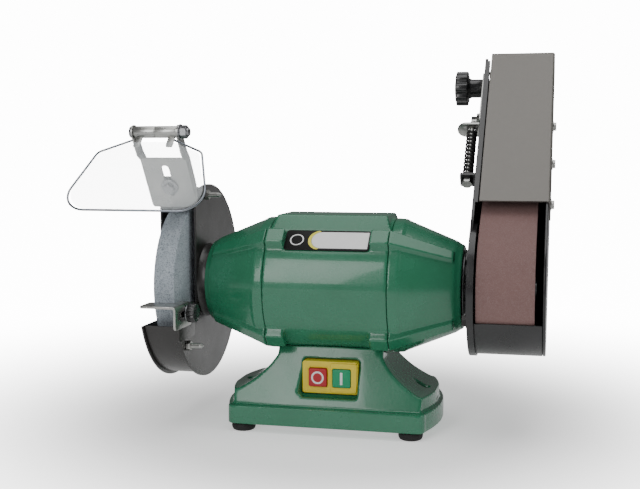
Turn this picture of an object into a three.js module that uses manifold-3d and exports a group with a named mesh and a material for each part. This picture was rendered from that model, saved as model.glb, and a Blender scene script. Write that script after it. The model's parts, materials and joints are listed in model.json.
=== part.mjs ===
// Combined bench grinder and belt grinder: a grinding wheel on the left end of a
// motor spindle, a tilting abrasive belt arm on the right end, on a cast pedestal.
// Millimetres, +X along the spindle, +Y to the back, +Z up.
import * as THREE from "three";
import { mergeVertices } from "three/addons/utils/BufferGeometryUtils.js";
import Module from "manifold-3d";

const wasm = await Module();
wasm.setup();

// ---------------------------------------------------------------- driving dimensions
const GAP = 0.3;                 // between pieces that touch or slide
const SEGMENTS = 20;             // sides of a round piece
const LARGE_SEGMENTS = 36;       // sides of a large round casting or wheel
const EPS = 1;                   // how far a cutting tool passes a face

const SPINDLE_HEIGHT = 130.5;    // spindle axis above the bench
const SHAFT_R = 7.5;             // spindle between its shoulders
const SHAFT_END_R = 6.5;         // spindle outside its shoulders
const SHAFT_FIT = 0.3;           // radial clearance of what rides on the spindle
const SHAFT_PROUD = 1;           // spindle end past each nut

const CORE_HALF = 56;            // half length of the centre housing
const HOUSING_R = 62;            // outside of the centre housing
const CASTING_WALL = 5;
const BELL_LENGTH = 62.2;
const BELL_END_R = 38;
const BELL_END_WALL = 6.5;
const BOSS_R = 8.5;              // screw bosses on the four corners
const BOSS_REACH = 69;           // outermost radius of a screw boss
const BOSS_LUG_LENGTH = 17;      // boss length on the centre housing
const TOP_PAD_RISE = 3.5;
const TOP_PAD_HALF_WIDTH = 26;

const STATOR_HALF = 32;
const ROTOR_R = 35.6;
const AIR_GAP = 0.4;
const WINDING_LENGTH = 18;
const WINDING_RADIAL = 15;
const BEARING_R = 17.5;
const BEARING_WIDTH = 11.4;
const SHOULDER_STANDOFF = 4.5;   // spindle shoulder inside the bell's end face

const PLATE_HALF_LENGTH = 39;
const PLATE_WIDTH = 23;
const PLATE_THICKNESS = 1;

const FOOT_HEIGHT = 6.8;
const FOOT_R = 11;
const FOOT_X = 77;
const FOOT_Y = 50;
const PLINTH_HEIGHT = 17.2;
const PLINTH_HALF_LENGTH = 90.5;
const PLINTH_BULGE = 9;          // how far the plinth's ends bow out
const PLINTH_HALF_DEPTH = 61;
const PLINTH_CORNER = 9;
const PLINTH_STEP = 4;           // column inside the plinth's edge
const COLUMN_INSET = 6;          // column face behind the plinth's face
const COLUMN_LEAN = 0.46;        // how far the panel leans in for each mm of height
const NECK_HALF = 49;
const NECK_DROP = 63;            // neck below the spindle axis
const PAD_HEIGHT = 12.5;           // mounting pads above the plinth's top
const SLOT_X = 80;
const SLOT_WIDTH = 8;
const SLOT_LENGTH = 15;
const HOLLOW_HALF_LENGTH = 64;
const HOLLOW_HALF_DEPTH = 48;
const HOLLOW_ROOF = 9;           // metal between the hollow and the motor
const BOTTOM_SHEET = 2;
const CAPACITOR_R = 16;
const CAPACITOR_LENGTH = 60;
const GLAND_R = 8;
const GLAND_X = 25;
const GLAND_RISE = 18.5;           // cable gland above the plinth's top

const SWITCH_X = 2.4;            // switch to the right of the middle
const SWITCH_HALF = 25.5;
const SWITCH_HEIGHT = 29.5;
const SWITCH_RISE = 11.2;           // switch above the plinth's top
const SWITCH_FRONT = 44;         // switch face in front of the spindle axis
const SWITCH_DEPTH = 20;
const BUTTON_SIZE = 16.5;
const BUTTON_SPACING = 21.9;
const BUTTON_PROUD = 2.5;
const BUTTON_TRAVEL = 3;

const WHEEL_R = 75;
const WHEEL_WIDTH = 20;
const WHEEL_FLANGE_R = 26;
const WHEEL_FLANGE_THICKNESS = 3;
const NUT_R = 10.5;
const NUT_THICKNESS = 5.5;
const SLEEVE_R = 9;              // spacer sleeves on the spindle
const BELL_BORE_R = SLEEVE_R + 0.6;

const GUARD_SHEET = 2;
const GUARD_CLEARANCE = 15;      // guard's inside past the wheel's rim
const GUARD_LIP = 3;             // side plates stand past the band
const GUARD_WIDTH = 33;
const GUARD_STANDOFF = 7.7;      // guard plate outside the bell's end face
const GUARD_HUB_R = 34;
const GUARD_SIDE = 5.5;          // wheel to guard plate
const GUARD_MOUTH_DROP = 33;     // mouth's lower edge below the axis
const GUARD_MOUTH_Y = 36;        // mouth's upright edge in front of the axis
const COVER_DOME_R = 24;
const GUARD_SCREW_R = 2.5;
const GUARD_SCREW_ANGLES = [220, 96, 330];
const GUARD_NUT_R = 4.7;

const REST_SHEET = 2;
const REST_GAP = 3.5;            // rest to wheel
const REST_BRACKET_CLEAR = 2.3;  // rest bracket above the lowest front guard nut
const REST_DEPTH = 26.5;
const REST_DROP = 12;            // rest's top below the axis
const REST_LEG_HEIGHT = 21;
const REST_STUD_R = 2.5;
const REST_STUD_DROP = 21;
const REST_KNOB_R = 8.5;
const REST_KNOB_LENGTH = 9.5;
const REST_SLOT_LENGTH = 24;

const BRACKET_LEAN = 34;         // degrees forward of upright
const BRACKET_WIDTH = 43;
const BRACKET_LENGTH = 54;
const BRACKET_SHEET = 1.5;
const BRACKET_EAR = 9;
const BRACKET_SLOT_WIDTH = 6.8;
const BRACKET_SLOT_LENGTH = 33;
const BRACKET_SLOT_START = 13;   // slot's lower end above the bracket's lower edge
const BRACKET_BOLT_R = 3;
const BRACKET_BOLT_HEIGHT = 23;  // bolt above the bracket's lower edge
const HINGE_PIN_R = 3.5;
const HINGE_PIN_OVERHANG = 9;
const HINGE_PIN_HEIGHT = 80.7;   // pin along the bracket from its lower edge
const SHIELD_SLOPE = 43;         // degrees from upright
const WIRE_R = 1;
const SHIELD_TOP_HALF = 47.5;
const SHIELD_TOP_DROP = 24;
const SHIELD_BOTTOM_HALF = 67;
const SHIELD_DROP = 89;
const LENS_THICKNESS = 1.6;
const CLIP_HALF = 19.5;

const ARM_LEAN = 45;             // degrees back from upright
const ARM_SHEET = 2.5;
const ARM_R = 60;                // housing around the drum
const ARM_LENGTH = 250;
const ARM_TOP_R = 36;
const ARM_CORNER = 6;
const ARM_BAND_WALL = 1.5;
const FLANGE_R = 34;
const FLANGE_THICKNESS = 5.9;
const SPIGOT_R = 24.7;
const SPIGOT_LENGTH = 4.5;
const DRUM_R = 56;
const IDLER_R = 21;
const IDLER_DISTANCE = 218;
const BELT_WIDTH = 50;
const BELT_THICKNESS = 1.2;
const BELT_SIDE = 5.2;           // belt's edge to the arm plate
const BAND_MARGIN = 6.5;         // band past the belt's edge
const OUTER_COVER_SHEET = 2.5;
const DISH_RIM_R = 62;           // rim of the side plate round the band
const DISH_DEPTH = 6;
const DISH_RIM_DROP = 10;        // rim's rear end below the axis
const COVER_START = 50.3;        // front cover's lower edge along the arm
const COVER_FLANGE = 26;
const PLATEN_THICKNESS = 3;
const PLATEN_START = 70;
const PLATEN_LENGTH = 105;
const AXLE_R = 5;
const TENSION_TRAVEL = 12;
const CARRIAGE_SHEET = 3;
const TONGUE_LENGTH = 22;
const TONGUE_DROP = 40;          // tongue below the idler's axis
const TENSION_Y = -25;
const TENSION_X_INSET = 10.6;    // tension bolt left of the arm plate
const TENSION_BOLT_R = 3;
const SPRING_R = 4.4;
const SPRING_WIRE_R = 0.9;
const SPRING_TURNS = 9;
const SPRING_LENGTH = 65;
const KNOB_R = 17.5;
const KNOB_WIDTH = 13.5;
const KNOB_STEM_R = 9.5;
const KNOB_STEM_LENGTH = 14;
const KNOB_LOBES = 8;
const KNOB_Y = -30;
const KNOB_RISE = 17;            // knob past the idler's axis
const CLAMP_BOLT_R = 4;
const CLAMP_BOLT_RADIUS = 47;
const CLAMP_BOLT_ANGLE = 257;    // degrees about the spindle in the arm's frame

// ---------------------------------------------------------------- derived stations
const BELL_START_X = CORE_HALF + GAP;
const BELL_END_X = BELL_START_X + BELL_LENGTH;
const SHOULDER_X = BELL_END_X - SHOULDER_STANDOFF;
const BEARING_X = BELL_END_X - BELL_END_WALL - GAP;
const BORE_R = SHAFT_END_R + SHAFT_FIT;
const PLINTH_TOP = FOOT_HEIGHT + PLINTH_HEIGHT;

const GUARD_X = -(BELL_END_X + GAP + GUARD_STANDOFF);
const GUARD_R = WHEEL_R + GUARD_CLEARANCE + GUARD_SHEET;
const GUARD_BAND_R = GUARD_R - GUARD_LIP;
const GUARD_INNER_R = GUARD_BAND_R - GUARD_SHEET;
const GUARD_OPEN_X = GUARD_X - GUARD_WIDTH;
const WHEEL_X = GUARD_X - GUARD_SHEET - GUARD_SIDE;
const WHEEL_OUTER_X = WHEEL_X - WHEEL_WIDTH;
const WHEEL_NUT_X = WHEEL_OUTER_X - GAP - WHEEL_FLANGE_THICKNESS - GAP;
const SHAFT_LEFT_X = WHEEL_NUT_X - NUT_THICKNESS - SHAFT_PROUD;
const GUARD_SCREW_PITCH_R = (WHEEL_R + GUARD_INNER_R) / 2 + 1.5;
const GUARD_START_ANGLE = Math.PI + Math.asin(GUARD_MOUTH_DROP / GUARD_R);
const GUARD_END_ANGLE = 2 * Math.PI + Math.acos(-GUARD_MOUTH_Y / GUARD_R);

const ARM_X = BELL_END_X + GAP + FLANGE_THICKNESS + GAP;
const ARM_INNER_X = ARM_X + ARM_SHEET;
const BELT_X = ARM_INNER_X + BELT_SIDE;
const BELT_END_X = BELT_X + BELT_WIDTH;
const BAND_END_X = BELT_END_X + BAND_MARGIN;
const OUTER_COVER_X = BAND_END_X + GAP;
const OUTER_COVER_END_X = OUTER_COVER_X + OUTER_COVER_SHEET;
const DRUM_X = BELT_X + 1.6;
const DRUM_END_X = BELT_END_X - 2.3;
const DRUM_HUB_END_X = DRUM_END_X - 4.4;
const DRUM_NUT_X = DRUM_HUB_END_X + GAP;
const SHAFT_RIGHT_X = DRUM_NUT_X + NUT_THICKNESS + SHAFT_PROUD;
const CARRIAGE_X = ARM_X - GAP;
const TENSION_X = ARM_X - TENSION_X_INSET;
const TONGUE_Z = IDLER_DISTANCE - TONGUE_DROP;
const SPRING_BOTTOM_Z = TONGUE_Z - GAP - SPRING_LENGTH;

const radians = THREE.MathUtils.degToRad;

// ---------------------------------------------------------------- solids
/** Merges shared corners and drops triangles that have no area. */
function closed(geometry) {
  const bare = geometry.clone();
  bare.deleteAttribute("normal");
  bare.deleteAttribute("uv");
  const merged = mergeVertices(bare, 1e-4);
  const corners = merged.index.array;
  const kept = [];
  for (let i = 0; i < corners.length; i += 3) {
    const [a, b, c] = [corners[i], corners[i + 1], corners[i + 2]];
    if (a !== b && b !== c && c !== a) kept.push(a, b, c);
  }
  merged.setIndex(kept);
  return merged;
}

function toSolid(geometry) {
  const merged = closed(geometry);
  const vertProperties = new Float32Array(merged.attributes.position.array);
  const triVerts = new Uint32Array(merged.index.array);
  return new wasm.Manifold(new wasm.Mesh({ numProp: 3, vertProperties, triVerts }));
}

function toGeometry(solid) {
  const mesh = solid.getMesh();
  const geometry = new THREE.BufferGeometry();
  const corners = new THREE.BufferAttribute(new Float32Array(mesh.vertProperties), 3);
  geometry.setAttribute("position", corners);
  geometry.setIndex(new THREE.BufferAttribute(new Uint32Array(mesh.triVerts), 1));
  geometry.computeVertexNormals();
  return geometry;
}

function join(first, ...others) {
  return toGeometry(others.reduce((sum, other) => sum.add(toSolid(other)), toSolid(first)));
}

function cut(first, ...tools) {
  return toGeometry(tools.reduce((rest, tool) => rest.subtract(toSolid(tool)), toSolid(first)));
}

function common(first, second) {
  return toGeometry(toSolid(first).intersect(toSolid(second)));
}

/** A box between two values on each axis. */
function box(x0, x1, y0, y1, z0, z1) {
  const geometry = new THREE.BoxGeometry(x1 - x0, y1 - y0, z1 - z0);
  return geometry.translate((x0 + x1) / 2, (y0 + y1) / 2, (z0 + z1) / 2);
}

function rodX(r, x0, x1, y = 0, z = 0, sides = SEGMENTS) {
  const geometry = new THREE.CylinderGeometry(r, r, x1 - x0, sides).rotateZ(-Math.PI / 2);
  return geometry.translate((x0 + x1) / 2, y, z);
}

function rodY(r, y0, y1, x = 0, z = 0, sides = SEGMENTS) {
  return new THREE.CylinderGeometry(r, r, y1 - y0, sides).translate(x, (y0 + y1) / 2, z);
}

function rodZ(r, z0, z1, x = 0, y = 0, sides = SEGMENTS) {
  const geometry = new THREE.CylinderGeometry(r, r, z1 - z0, sides).rotateX(Math.PI / 2);
  return geometry.translate(x, y, (z0 + z1) / 2);
}

/** A body turned about the X axis from [radius, x] corners, outer wall first towards +X. */
function turned(profile, sides = SEGMENTS) {
  const corners = profile.map(([r, x]) => new THREE.Vector2(r, x));
  return new THREE.LatheGeometry(corners, sides).rotateZ(-Math.PI / 2);
}

/** A ring about the X axis. */
function ringX(inner, outer, x0, x1, sides = SEGMENTS) {
  return turned([[inner, x0], [outer, x0], [outer, x1], [inner, x1], [inner, x0]], sides);
}

function extrude(shape, length, curveSegments) {
  return new THREE.ExtrudeGeometry(shape, { depth: length, bevelEnabled: false, curveSegments });
}

/** A shape drawn in (y, z), pushed along X. */
function prismX(shape, x0, x1, curveSegments = 12) {
  const frame = new THREE.Matrix4().makeBasis(
    new THREE.Vector3(0, 1, 0), new THREE.Vector3(0, 0, 1), new THREE.Vector3(1, 0, 0));
  return extrude(shape, x1 - x0, curveSegments).applyMatrix4(frame).translate(x0, 0, 0);
}

/** A shape drawn in (x, z), pushed along Y. */
function prismY(shape, y0, y1, curveSegments = 12) {
  return extrude(shape, y1 - y0, curveSegments).rotateX(Math.PI / 2).translate(0, y1, 0);
}

function polygon(...corners) {
  return new THREE.Shape(corners.map(([u, v]) => new THREE.Vector2(u, v)));
}

/** A slot with round ends between two points of a plane. */
function slot([u0, v0], [u1, v1], width) {
  const turn = Math.atan2(v1 - v0, u1 - u0);
  const shape = new THREE.Shape();
  shape.absarc(u1, v1, width / 2, turn - Math.PI / 2, turn + Math.PI / 2, false);
  shape.absarc(u0, v0, width / 2, turn + Math.PI / 2, turn + 1.5 * Math.PI, false);
  return shape;
}

function around(radius, angle) {
  return [radius * Math.cos(angle), radius * Math.sin(angle)];
}

// ---------------------------------------------------------------- materials and placing
const finish = (color, roughness, metalness = 0) => ({ color, roughness, metalness });
const GREEN = finish(0x3a7a5c, 0.3);
const BLACK = finish(0x1d1e20, 0.45);
const RUBBER = finish(0x141414, 0.85);
const SATIN = finish(0x908e8a, 0.4, 0.6);
const ZINC = finish(0xa5aba6, 0.35, 0.9);
const STEEL = finish(0x8c8f92, 0.4, 0.9);
const CORE = finish(0x5c5f63, 0.55, 0.8);
const COPPER = finish(0xa3602e, 0.4, 0.8);
const STONE = finish(0xa9b3bc, 0.95);
const GRIT = finish(0x8b6a66, 0.95);
const YELLOW = finish(0xe8d13a, 0.4);
const RED = finish(0xb3202a, 0.35);
const START_GREEN = finish(0x0a9460, 0.35);
const CLEAR = { color: 0xdfe8ea, roughness: 0.1, metalness: 0, transparent: true, opacity: 0.3 };
const PALE = finish(0xb9bdc0, 0.5);

function part(parent, name, geometry, look, position = [0, 0, 0]) {
  const mesh = new THREE.Mesh(geometry, new THREE.MeshStandardMaterial(look));
  mesh.name = name;
  mesh.position.set(...position);
  parent.add(mesh);
  return mesh;
}

const machine = new THREE.Group();
const onAxis = new THREE.Group();
onAxis.position.z = SPINDLE_HEIGHT;
machine.add(onAxis);

// ---------------------------------------------------------------- pedestal
function plinthOutline(inset) {
  const end = PLINTH_HALF_LENGTH - inset;
  const side = PLINTH_HALF_DEPTH - inset;
  const corner = PLINTH_CORNER;
  const shape = new THREE.Shape();
  shape.moveTo(corner - end, -side);
  shape.lineTo(end - corner, -side);
  shape.quadraticCurveTo(end, -side, end, corner - side);
  shape.quadraticCurveTo(end + 2 * PLINTH_BULGE, 0, end, side - corner);
  shape.quadraticCurveTo(end, side, end - corner, side);
  shape.lineTo(corner - end, side);
  shape.quadraticCurveTo(-end, side, -end, side - corner);
  shape.quadraticCurveTo(-end - 2 * PLINTH_BULGE, 0, -end, corner - side);
  shape.quadraticCurveTo(-end, -side, corner - end, -side);
  return shape;
}

/** Front view of the column: flat mounting pads, then concave flanks up to the neck. */
function columnFront() {
  const foot = PLINTH_HALF_LENGTH + PLINTH_BULGE / 2;
  const padInner = foot - 11;
  const padTop = PLINTH_TOP + PAD_HEIGHT;
  const neck = SPINDLE_HEIGHT - NECK_DROP;
  const bend = [NECK_HALF + 11, padTop + 12];
  const shape = new THREE.Shape();
  shape.moveTo(-foot, PLINTH_TOP - EPS);
  shape.lineTo(foot, PLINTH_TOP - EPS);
  shape.lineTo(foot, padTop);
  shape.lineTo(padInner, padTop);
  shape.quadraticCurveTo(...bend, NECK_HALF, neck);
  shape.lineTo(NECK_HALF, SPINDLE_HEIGHT);
  shape.lineTo(-NECK_HALF, SPINDLE_HEIGHT);
  shape.lineTo(-NECK_HALF, neck);
  shape.quadraticCurveTo(-bend[0], bend[1], -padInner, padTop);
  shape.lineTo(-foot, padTop);
  return shape;
}

/** Half depth of the column at a height. */
function columnHalfDepth(z) {
  return PLINTH_HALF_DEPTH - COLUMN_INSET - (z - PLINTH_TOP) * COLUMN_LEAN;
}

function columnSide(inset, bottom, top) {
  const low = columnHalfDepth(bottom) - inset;
  const high = columnHalfDepth(top) - inset;
  return polygon([-low, bottom], [low, bottom], [high, top], [-high, top]);
}

const HOLLOW_TOP = SPINDLE_HEIGHT - HOUSING_R - HOLLOW_ROOF;
const RABBET_TOP = FOOT_HEIGHT + 5;
const SWITCH_Z = PLINTH_TOP + SWITCH_RISE;
const GLAND_Z = PLINTH_TOP + GLAND_RISE;
const GLAND_FACE_Y = columnHalfDepth(GLAND_Z) + GLAND_R * COLUMN_LEAN + 5;

function hollow() {
  const mouth = box(-HOLLOW_HALF_LENGTH, HOLLOW_HALF_LENGTH, -HOLLOW_HALF_DEPTH, HOLLOW_HALF_DEPTH,
    FOOT_HEIGHT - EPS, RABBET_TOP);
  const low = HOLLOW_HALF_LENGTH;
  const high = NECK_HALF - CASTING_WALL;
  const bottom = RABBET_TOP - EPS;
  const front = polygon([-low, bottom], [low, bottom], [high, HOLLOW_TOP], [-high, HOLLOW_TOP]);
  const depth = columnSide(CASTING_WALL + 2, bottom, HOLLOW_TOP);
  const chamber = common(prismY(front, -HOLLOW_HALF_DEPTH, HOLLOW_HALF_DEPTH), prismX(depth, -low, low));
  return join(mouth, chamber);
}

function basePedestal() {
  const plinth = extrude(plinthOutline(0), PLINTH_HEIGHT, 8).translate(0, 0, FOOT_HEIGHT);
  const reach = SPINDLE_HEIGHT - HOUSING_R / 2;
  const flanks = common(prismY(columnFront(), -PLINTH_HALF_DEPTH, PLINTH_HALF_DEPTH, 8),
    prismX(columnSide(0, PLINTH_TOP - EPS, reach), -PLINTH_HALF_LENGTH * 2, PLINTH_HALF_LENGTH * 2));
  const column = common(flanks, extrude(plinthOutline(PLINTH_STEP), SPINDLE_HEIGHT, 8));
  const boss = rodY(GLAND_R + 5, columnHalfDepth(GLAND_Z) - 8, GLAND_FACE_Y, GLAND_X, GLAND_Z);
  const saddle = rodX(HOUSING_R + GAP, -BELL_END_X, BELL_END_X, 0, SPINDLE_HEIGHT, LARGE_SEGMENTS);
  const recess = box(SWITCH_X - SWITCH_HALF - GAP, SWITCH_X + SWITCH_HALF + GAP, -PLINTH_HALF_DEPTH,
    SWITCH_DEPTH - SWITCH_FRONT + GAP, SWITCH_Z - GAP, SWITCH_Z + SWITCH_HEIGHT + GAP);
  const glandHole = rodY(GLAND_R + GAP, 0, PLINTH_HALF_DEPTH * 2, GLAND_X, GLAND_Z);
  const half = SLOT_LENGTH / 2 - SLOT_WIDTH / 2;
  const slots = [-SLOT_X, SLOT_X].map((x) =>
    extrude(slot([x - half, 0], [x + half, 0], SLOT_WIDTH), SPINDLE_HEIGHT / 2, 6));
  return cut(join(plinth, column, boss), saddle, recess, glandHole, hollow(), ...slots);
}

part(machine, "base_pedestal", basePedestal(), GREEN);
part(machine, "bottom_cover", box(GAP - HOLLOW_HALF_LENGTH, HOLLOW_HALF_LENGTH - GAP,
  GAP - HOLLOW_HALF_DEPTH, HOLLOW_HALF_DEPTH - GAP, FOOT_HEIGHT, FOOT_HEIGHT + BOTTOM_SHEET), PALE);
for (const [name, side, end] of [
  ["foot_front_left", -1, -1], ["foot_front_right", 1, -1],
  ["foot_rear_left", -1, 1], ["foot_rear_right", 1, 1]]) {
  const foot = new THREE.CylinderGeometry(FOOT_R, FOOT_R - 1.5, FOOT_HEIGHT - GAP, SEGMENTS)
    .rotateX(Math.PI / 2).translate(0, 0, (FOOT_HEIGHT - GAP) / 2);
  part(machine, name, foot, RUBBER, [side * FOOT_X, end * FOOT_Y, 0]);
}
part(machine, "capacitor", rodX(CAPACITOR_R, -CAPACITOR_LENGTH / 2, CAPACITOR_LENGTH / 2), PALE,
  [-5, CAPACITOR_R - 4, FOOT_HEIGHT + BOTTOM_SHEET + CAPACITOR_R + 3]);

function cableGland() {
  const shank = rodY(GLAND_R, GLAND_FACE_Y - 12, GLAND_FACE_Y + 10, 0, 0);
  const collar = rodY(GLAND_R + 3, GLAND_FACE_Y + GAP, GLAND_FACE_Y + 4, 0, 0);
  return cut(join(shank, collar), rodY(3.6, 0, PLINTH_HALF_DEPTH * 2, 0, 0));
}
part(machine, "cable_gland", cableGland(), BLACK, [GLAND_X, 0, GLAND_Z]);

// ---------------------------------------------------------------- switch
const BUTTON_Z = SWITCH_Z + SWITCH_HEIGHT / 2;

function switchHousing() {
  const body = box(SWITCH_X - SWITCH_HALF, SWITCH_X + SWITCH_HALF, -SWITCH_FRONT, SWITCH_DEPTH - SWITCH_FRONT,
    SWITCH_Z, SWITCH_Z + SWITCH_HEIGHT);
  const well = BUTTON_SIZE / 2 + GAP;
  const wells = [-1, 1].map((side) => {
    const x = SWITCH_X + side * BUTTON_SPACING / 2;
    return box(x - well, x + well, -SWITCH_FRONT - EPS, -SWITCH_FRONT + SWITCH_DEPTH - 5,
      BUTTON_Z - well, BUTTON_Z + well);
  });
  return cut(body, ...wells);
}

part(machine, "switch_housing", switchHousing(), YELLOW);
for (const [name, side, look] of [["button_stop", -1, RED], ["button_start", 1, START_GREEN]]) {
  const half = BUTTON_SIZE / 2;
  const key = box(-half, half, -BUTTON_PROUD, SWITCH_DEPTH - 5 - BUTTON_TRAVEL - 1.5, -half, half);
  part(machine, name, key, look, [SWITCH_X + side * BUTTON_SPACING / 2, -SWITCH_FRONT, BUTTON_Z]);
}

// ---------------------------------------------------------------- motor
/** Corner screw bosses along X, at 45 degrees on all four corners. */
function cornerBosses(x0, x1) {
  return [45, 135, 225, 315].map((degrees) => {
    const [y, z] = around(BOSS_REACH - BOSS_R, radians(degrees));
    return rodX(BOSS_R, x0, x1, y, z, 14);
  });
}

// The nameplate's seat is a chord of the barrel as wide as the plate.
const PLATE_SEAT_R = Math.sqrt(HOUSING_R ** 2 - (PLATE_WIDTH / 2 + GAP) ** 2);

function motorHousing() {
  const barrel = rodX(HOUSING_R, -CORE_HALF, CORE_HALF, 0, 0, LARGE_SEGMENTS);
  const padTop = HOUSING_R + TOP_PAD_RISE;
  const padFoot = TOP_PAD_HALF_WIDTH + 8;
  const pad = common(prismY(polygon([-CORE_HALF, HOUSING_R - 12], [CORE_HALF, HOUSING_R - 12],
    [CORE_HALF - 5, padTop], [5 - CORE_HALF, padTop]), -padFoot, padFoot),
  prismX(polygon([-padFoot, HOUSING_R - 12], [padFoot, HOUSING_R - 12],
    [TOP_PAD_HALF_WIDTH, padTop], [-TOP_PAD_HALF_WIDTH, padTop]), -CORE_HALF, CORE_HALF));
  const lugs = [...cornerBosses(-CORE_HALF, BOSS_LUG_LENGTH - CORE_HALF),
    ...cornerBosses(CORE_HALF - BOSS_LUG_LENGTH, CORE_HALF)];
  const flat = box(-PLATE_HALF_LENGTH - GAP, PLATE_HALF_LENGTH + GAP, -HOUSING_R * 2, -PLATE_SEAT_R,
    -PLATE_WIDTH / 2 - GAP, PLATE_WIDTH / 2 + GAP).rotateX(-Math.PI / 4);
  const bore = rodX(HOUSING_R - CASTING_WALL, -CORE_HALF - EPS, CORE_HALF + EPS, 0, 0, LARGE_SEGMENTS);
  return cut(join(barrel, pad, ...lugs), bore, flat);
}

function endBell() {
  const shoulder = BELL_START_X + 10;
  const tip = BELL_END_X - 4;
  const endInner = BELL_END_X - BELL_END_WALL;
  const outside = turned([[0, BELL_START_X], [HOUSING_R, BELL_START_X], [HOUSING_R - 1, shoulder],
    [BELL_END_R + 2, tip], [BELL_END_R, BELL_END_X], [0, BELL_END_X]], LARGE_SEGMENTS);
  const limit = turned([[0, BELL_START_X], [BOSS_REACH + 1, BELL_START_X], [BELL_END_R + 1, BELL_END_X - 1],
    [0, BELL_END_X - 1]]);
  const bosses = cornerBosses(BELL_START_X, BELL_END_X - 1).map((boss) => common(boss, limit));
  const seat = BEARING_R + GAP;
  const seatStart = endInner - BEARING_WIDTH - GAP;
  const cavity = turned([[0, BELL_START_X - EPS], [HOUSING_R - CASTING_WALL, BELL_START_X - EPS],
    [HOUSING_R - CASTING_WALL, shoulder - 3], [BELL_END_R - CASTING_WALL, endInner - 2],
    [seat + CASTING_WALL, endInner - 2], [seat + CASTING_WALL, seatStart], [seat, seatStart],
    [seat, endInner], [BELL_BORE_R, endInner], [BELL_BORE_R, BELL_END_X + EPS], [0, BELL_END_X + EPS]]);
  return cut(join(outside, ...bosses), cavity);
}

part(onAxis, "motor_housing", motorHousing(), GREEN);
part(onAxis, "end_bell_right", endBell(), GREEN);
part(onAxis, "end_bell_left", endBell(), GREEN).rotation.z = Math.PI;
const platePlane = new THREE.Group();
platePlane.rotation.x = -Math.PI / 4;
onAxis.add(platePlane);
part(platePlane, "nameplate", box(-PLATE_HALF_LENGTH, PLATE_HALF_LENGTH, -PLATE_THICKNESS, 0,
  -PLATE_WIDTH / 2, PLATE_WIDTH / 2), BLACK, [0, -PLATE_SEAT_R - GAP, 0]);
part(onAxis, "stator_core", ringX(ROTOR_R + AIR_GAP, HOUSING_R - CASTING_WALL - GAP,
  -STATOR_HALF, STATOR_HALF, LARGE_SEGMENTS), CORE);
part(onAxis, "rotor_core", ringX(SHAFT_R + SHAFT_FIT, ROTOR_R, -STATOR_HALF, STATOR_HALF,
  LARGE_SEGMENTS), CORE);
for (const [name, side] of [["winding_left", -1], ["winding_right", 1]]) {
  const inner = ROTOR_R + 2.4;
  const winding = ringX(inner, inner + WINDING_RADIAL, -WINDING_LENGTH / 2, WINDING_LENGTH / 2);
  part(onAxis, name, winding, COPPER, [side * (STATOR_HALF + GAP + WINDING_LENGTH / 2), 0, 0]);
}
for (const [name, side] of [["bearing_left", -1], ["bearing_right", 1]]) {
  const bearing = ringX(SHAFT_R + SHAFT_FIT, BEARING_R, -BEARING_WIDTH / 2, BEARING_WIDTH / 2);
  part(onAxis, name, bearing, STEEL, [side * (BEARING_X - BEARING_WIDTH / 2), 0, 0]);
}

// ---------------------------------------------------------------- spindle
part(onAxis, "spindle_shaft", turned([[0, SHAFT_LEFT_X], [SHAFT_END_R, SHAFT_LEFT_X],
  [SHAFT_END_R, -SHOULDER_X], [SHAFT_R, -SHOULDER_X], [SHAFT_R, SHOULDER_X],
  [SHAFT_END_R, SHOULDER_X], [SHAFT_END_R, SHAFT_RIGHT_X], [0, SHAFT_RIGHT_X]]), STEEL);
const FLANGE_FACE_X = WHEEL_X + GAP;
const FLANGE_BACK_X = FLANGE_FACE_X + WHEEL_FLANGE_THICKNESS;
part(onAxis, "wheel_flange_inner", turned([[BORE_R, FLANGE_FACE_X], [WHEEL_FLANGE_R, FLANGE_FACE_X],
  [WHEEL_FLANGE_R, FLANGE_BACK_X], [SLEEVE_R, FLANGE_BACK_X], [SLEEVE_R, -SHOULDER_X - GAP],
  [BORE_R, -SHOULDER_X - GAP], [BORE_R, FLANGE_FACE_X]]), STEEL);
part(onAxis, "grinding_wheel", ringX(BORE_R, WHEEL_R, WHEEL_OUTER_X, WHEEL_X, LARGE_SEGMENTS), STONE);
part(onAxis, "wheel_flange_outer", ringX(BORE_R, WHEEL_FLANGE_R,
  WHEEL_OUTER_X - GAP - WHEEL_FLANGE_THICKNESS, WHEEL_OUTER_X - GAP), STEEL);
part(onAxis, "wheel_nut", cut(rodX(NUT_R, WHEEL_NUT_X - NUT_THICKNESS, WHEEL_NUT_X, 0, 0, 6),
  rodX(BORE_R, WHEEL_NUT_X - NUT_THICKNESS - EPS, WHEEL_NUT_X + EPS)), ZINC);
part(onAxis, "drive_drum", turned([[BORE_R, SHOULDER_X + GAP], [SLEEVE_R, SHOULDER_X + GAP],
  [SLEEVE_R, DRUM_X], [DRUM_R, DRUM_X], [DRUM_R, DRUM_END_X], [DRUM_R - 6, DRUM_END_X],
  [DRUM_R - 6, DRUM_X + 8], [SLEEVE_R + 7, DRUM_X + 8], [SLEEVE_R + 7, DRUM_HUB_END_X],
  [BORE_R, DRUM_HUB_END_X], [BORE_R, SHOULDER_X + GAP]], LARGE_SEGMENTS), RUBBER);
part(onAxis, "drum_nut", cut(rodX(NUT_R, DRUM_NUT_X, DRUM_NUT_X + NUT_THICKNESS, 0, 0, 6),
  rodX(BORE_R, DRUM_NUT_X - EPS, DRUM_NUT_X + NUT_THICKNESS + EPS)), ZINC);

// ---------------------------------------------------------------- wheel guard
/** Side view of the guard: a disc with its front upper corner open. */
function guardOutline(radius) {
  const shape = new THREE.Shape();
  shape.absarc(0, 0, radius, GUARD_START_ANGLE, GUARD_END_ANGLE, false);
  shape.lineTo(-GUARD_MOUTH_Y, -GUARD_MOUTH_DROP);
  return shape;
}

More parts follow.
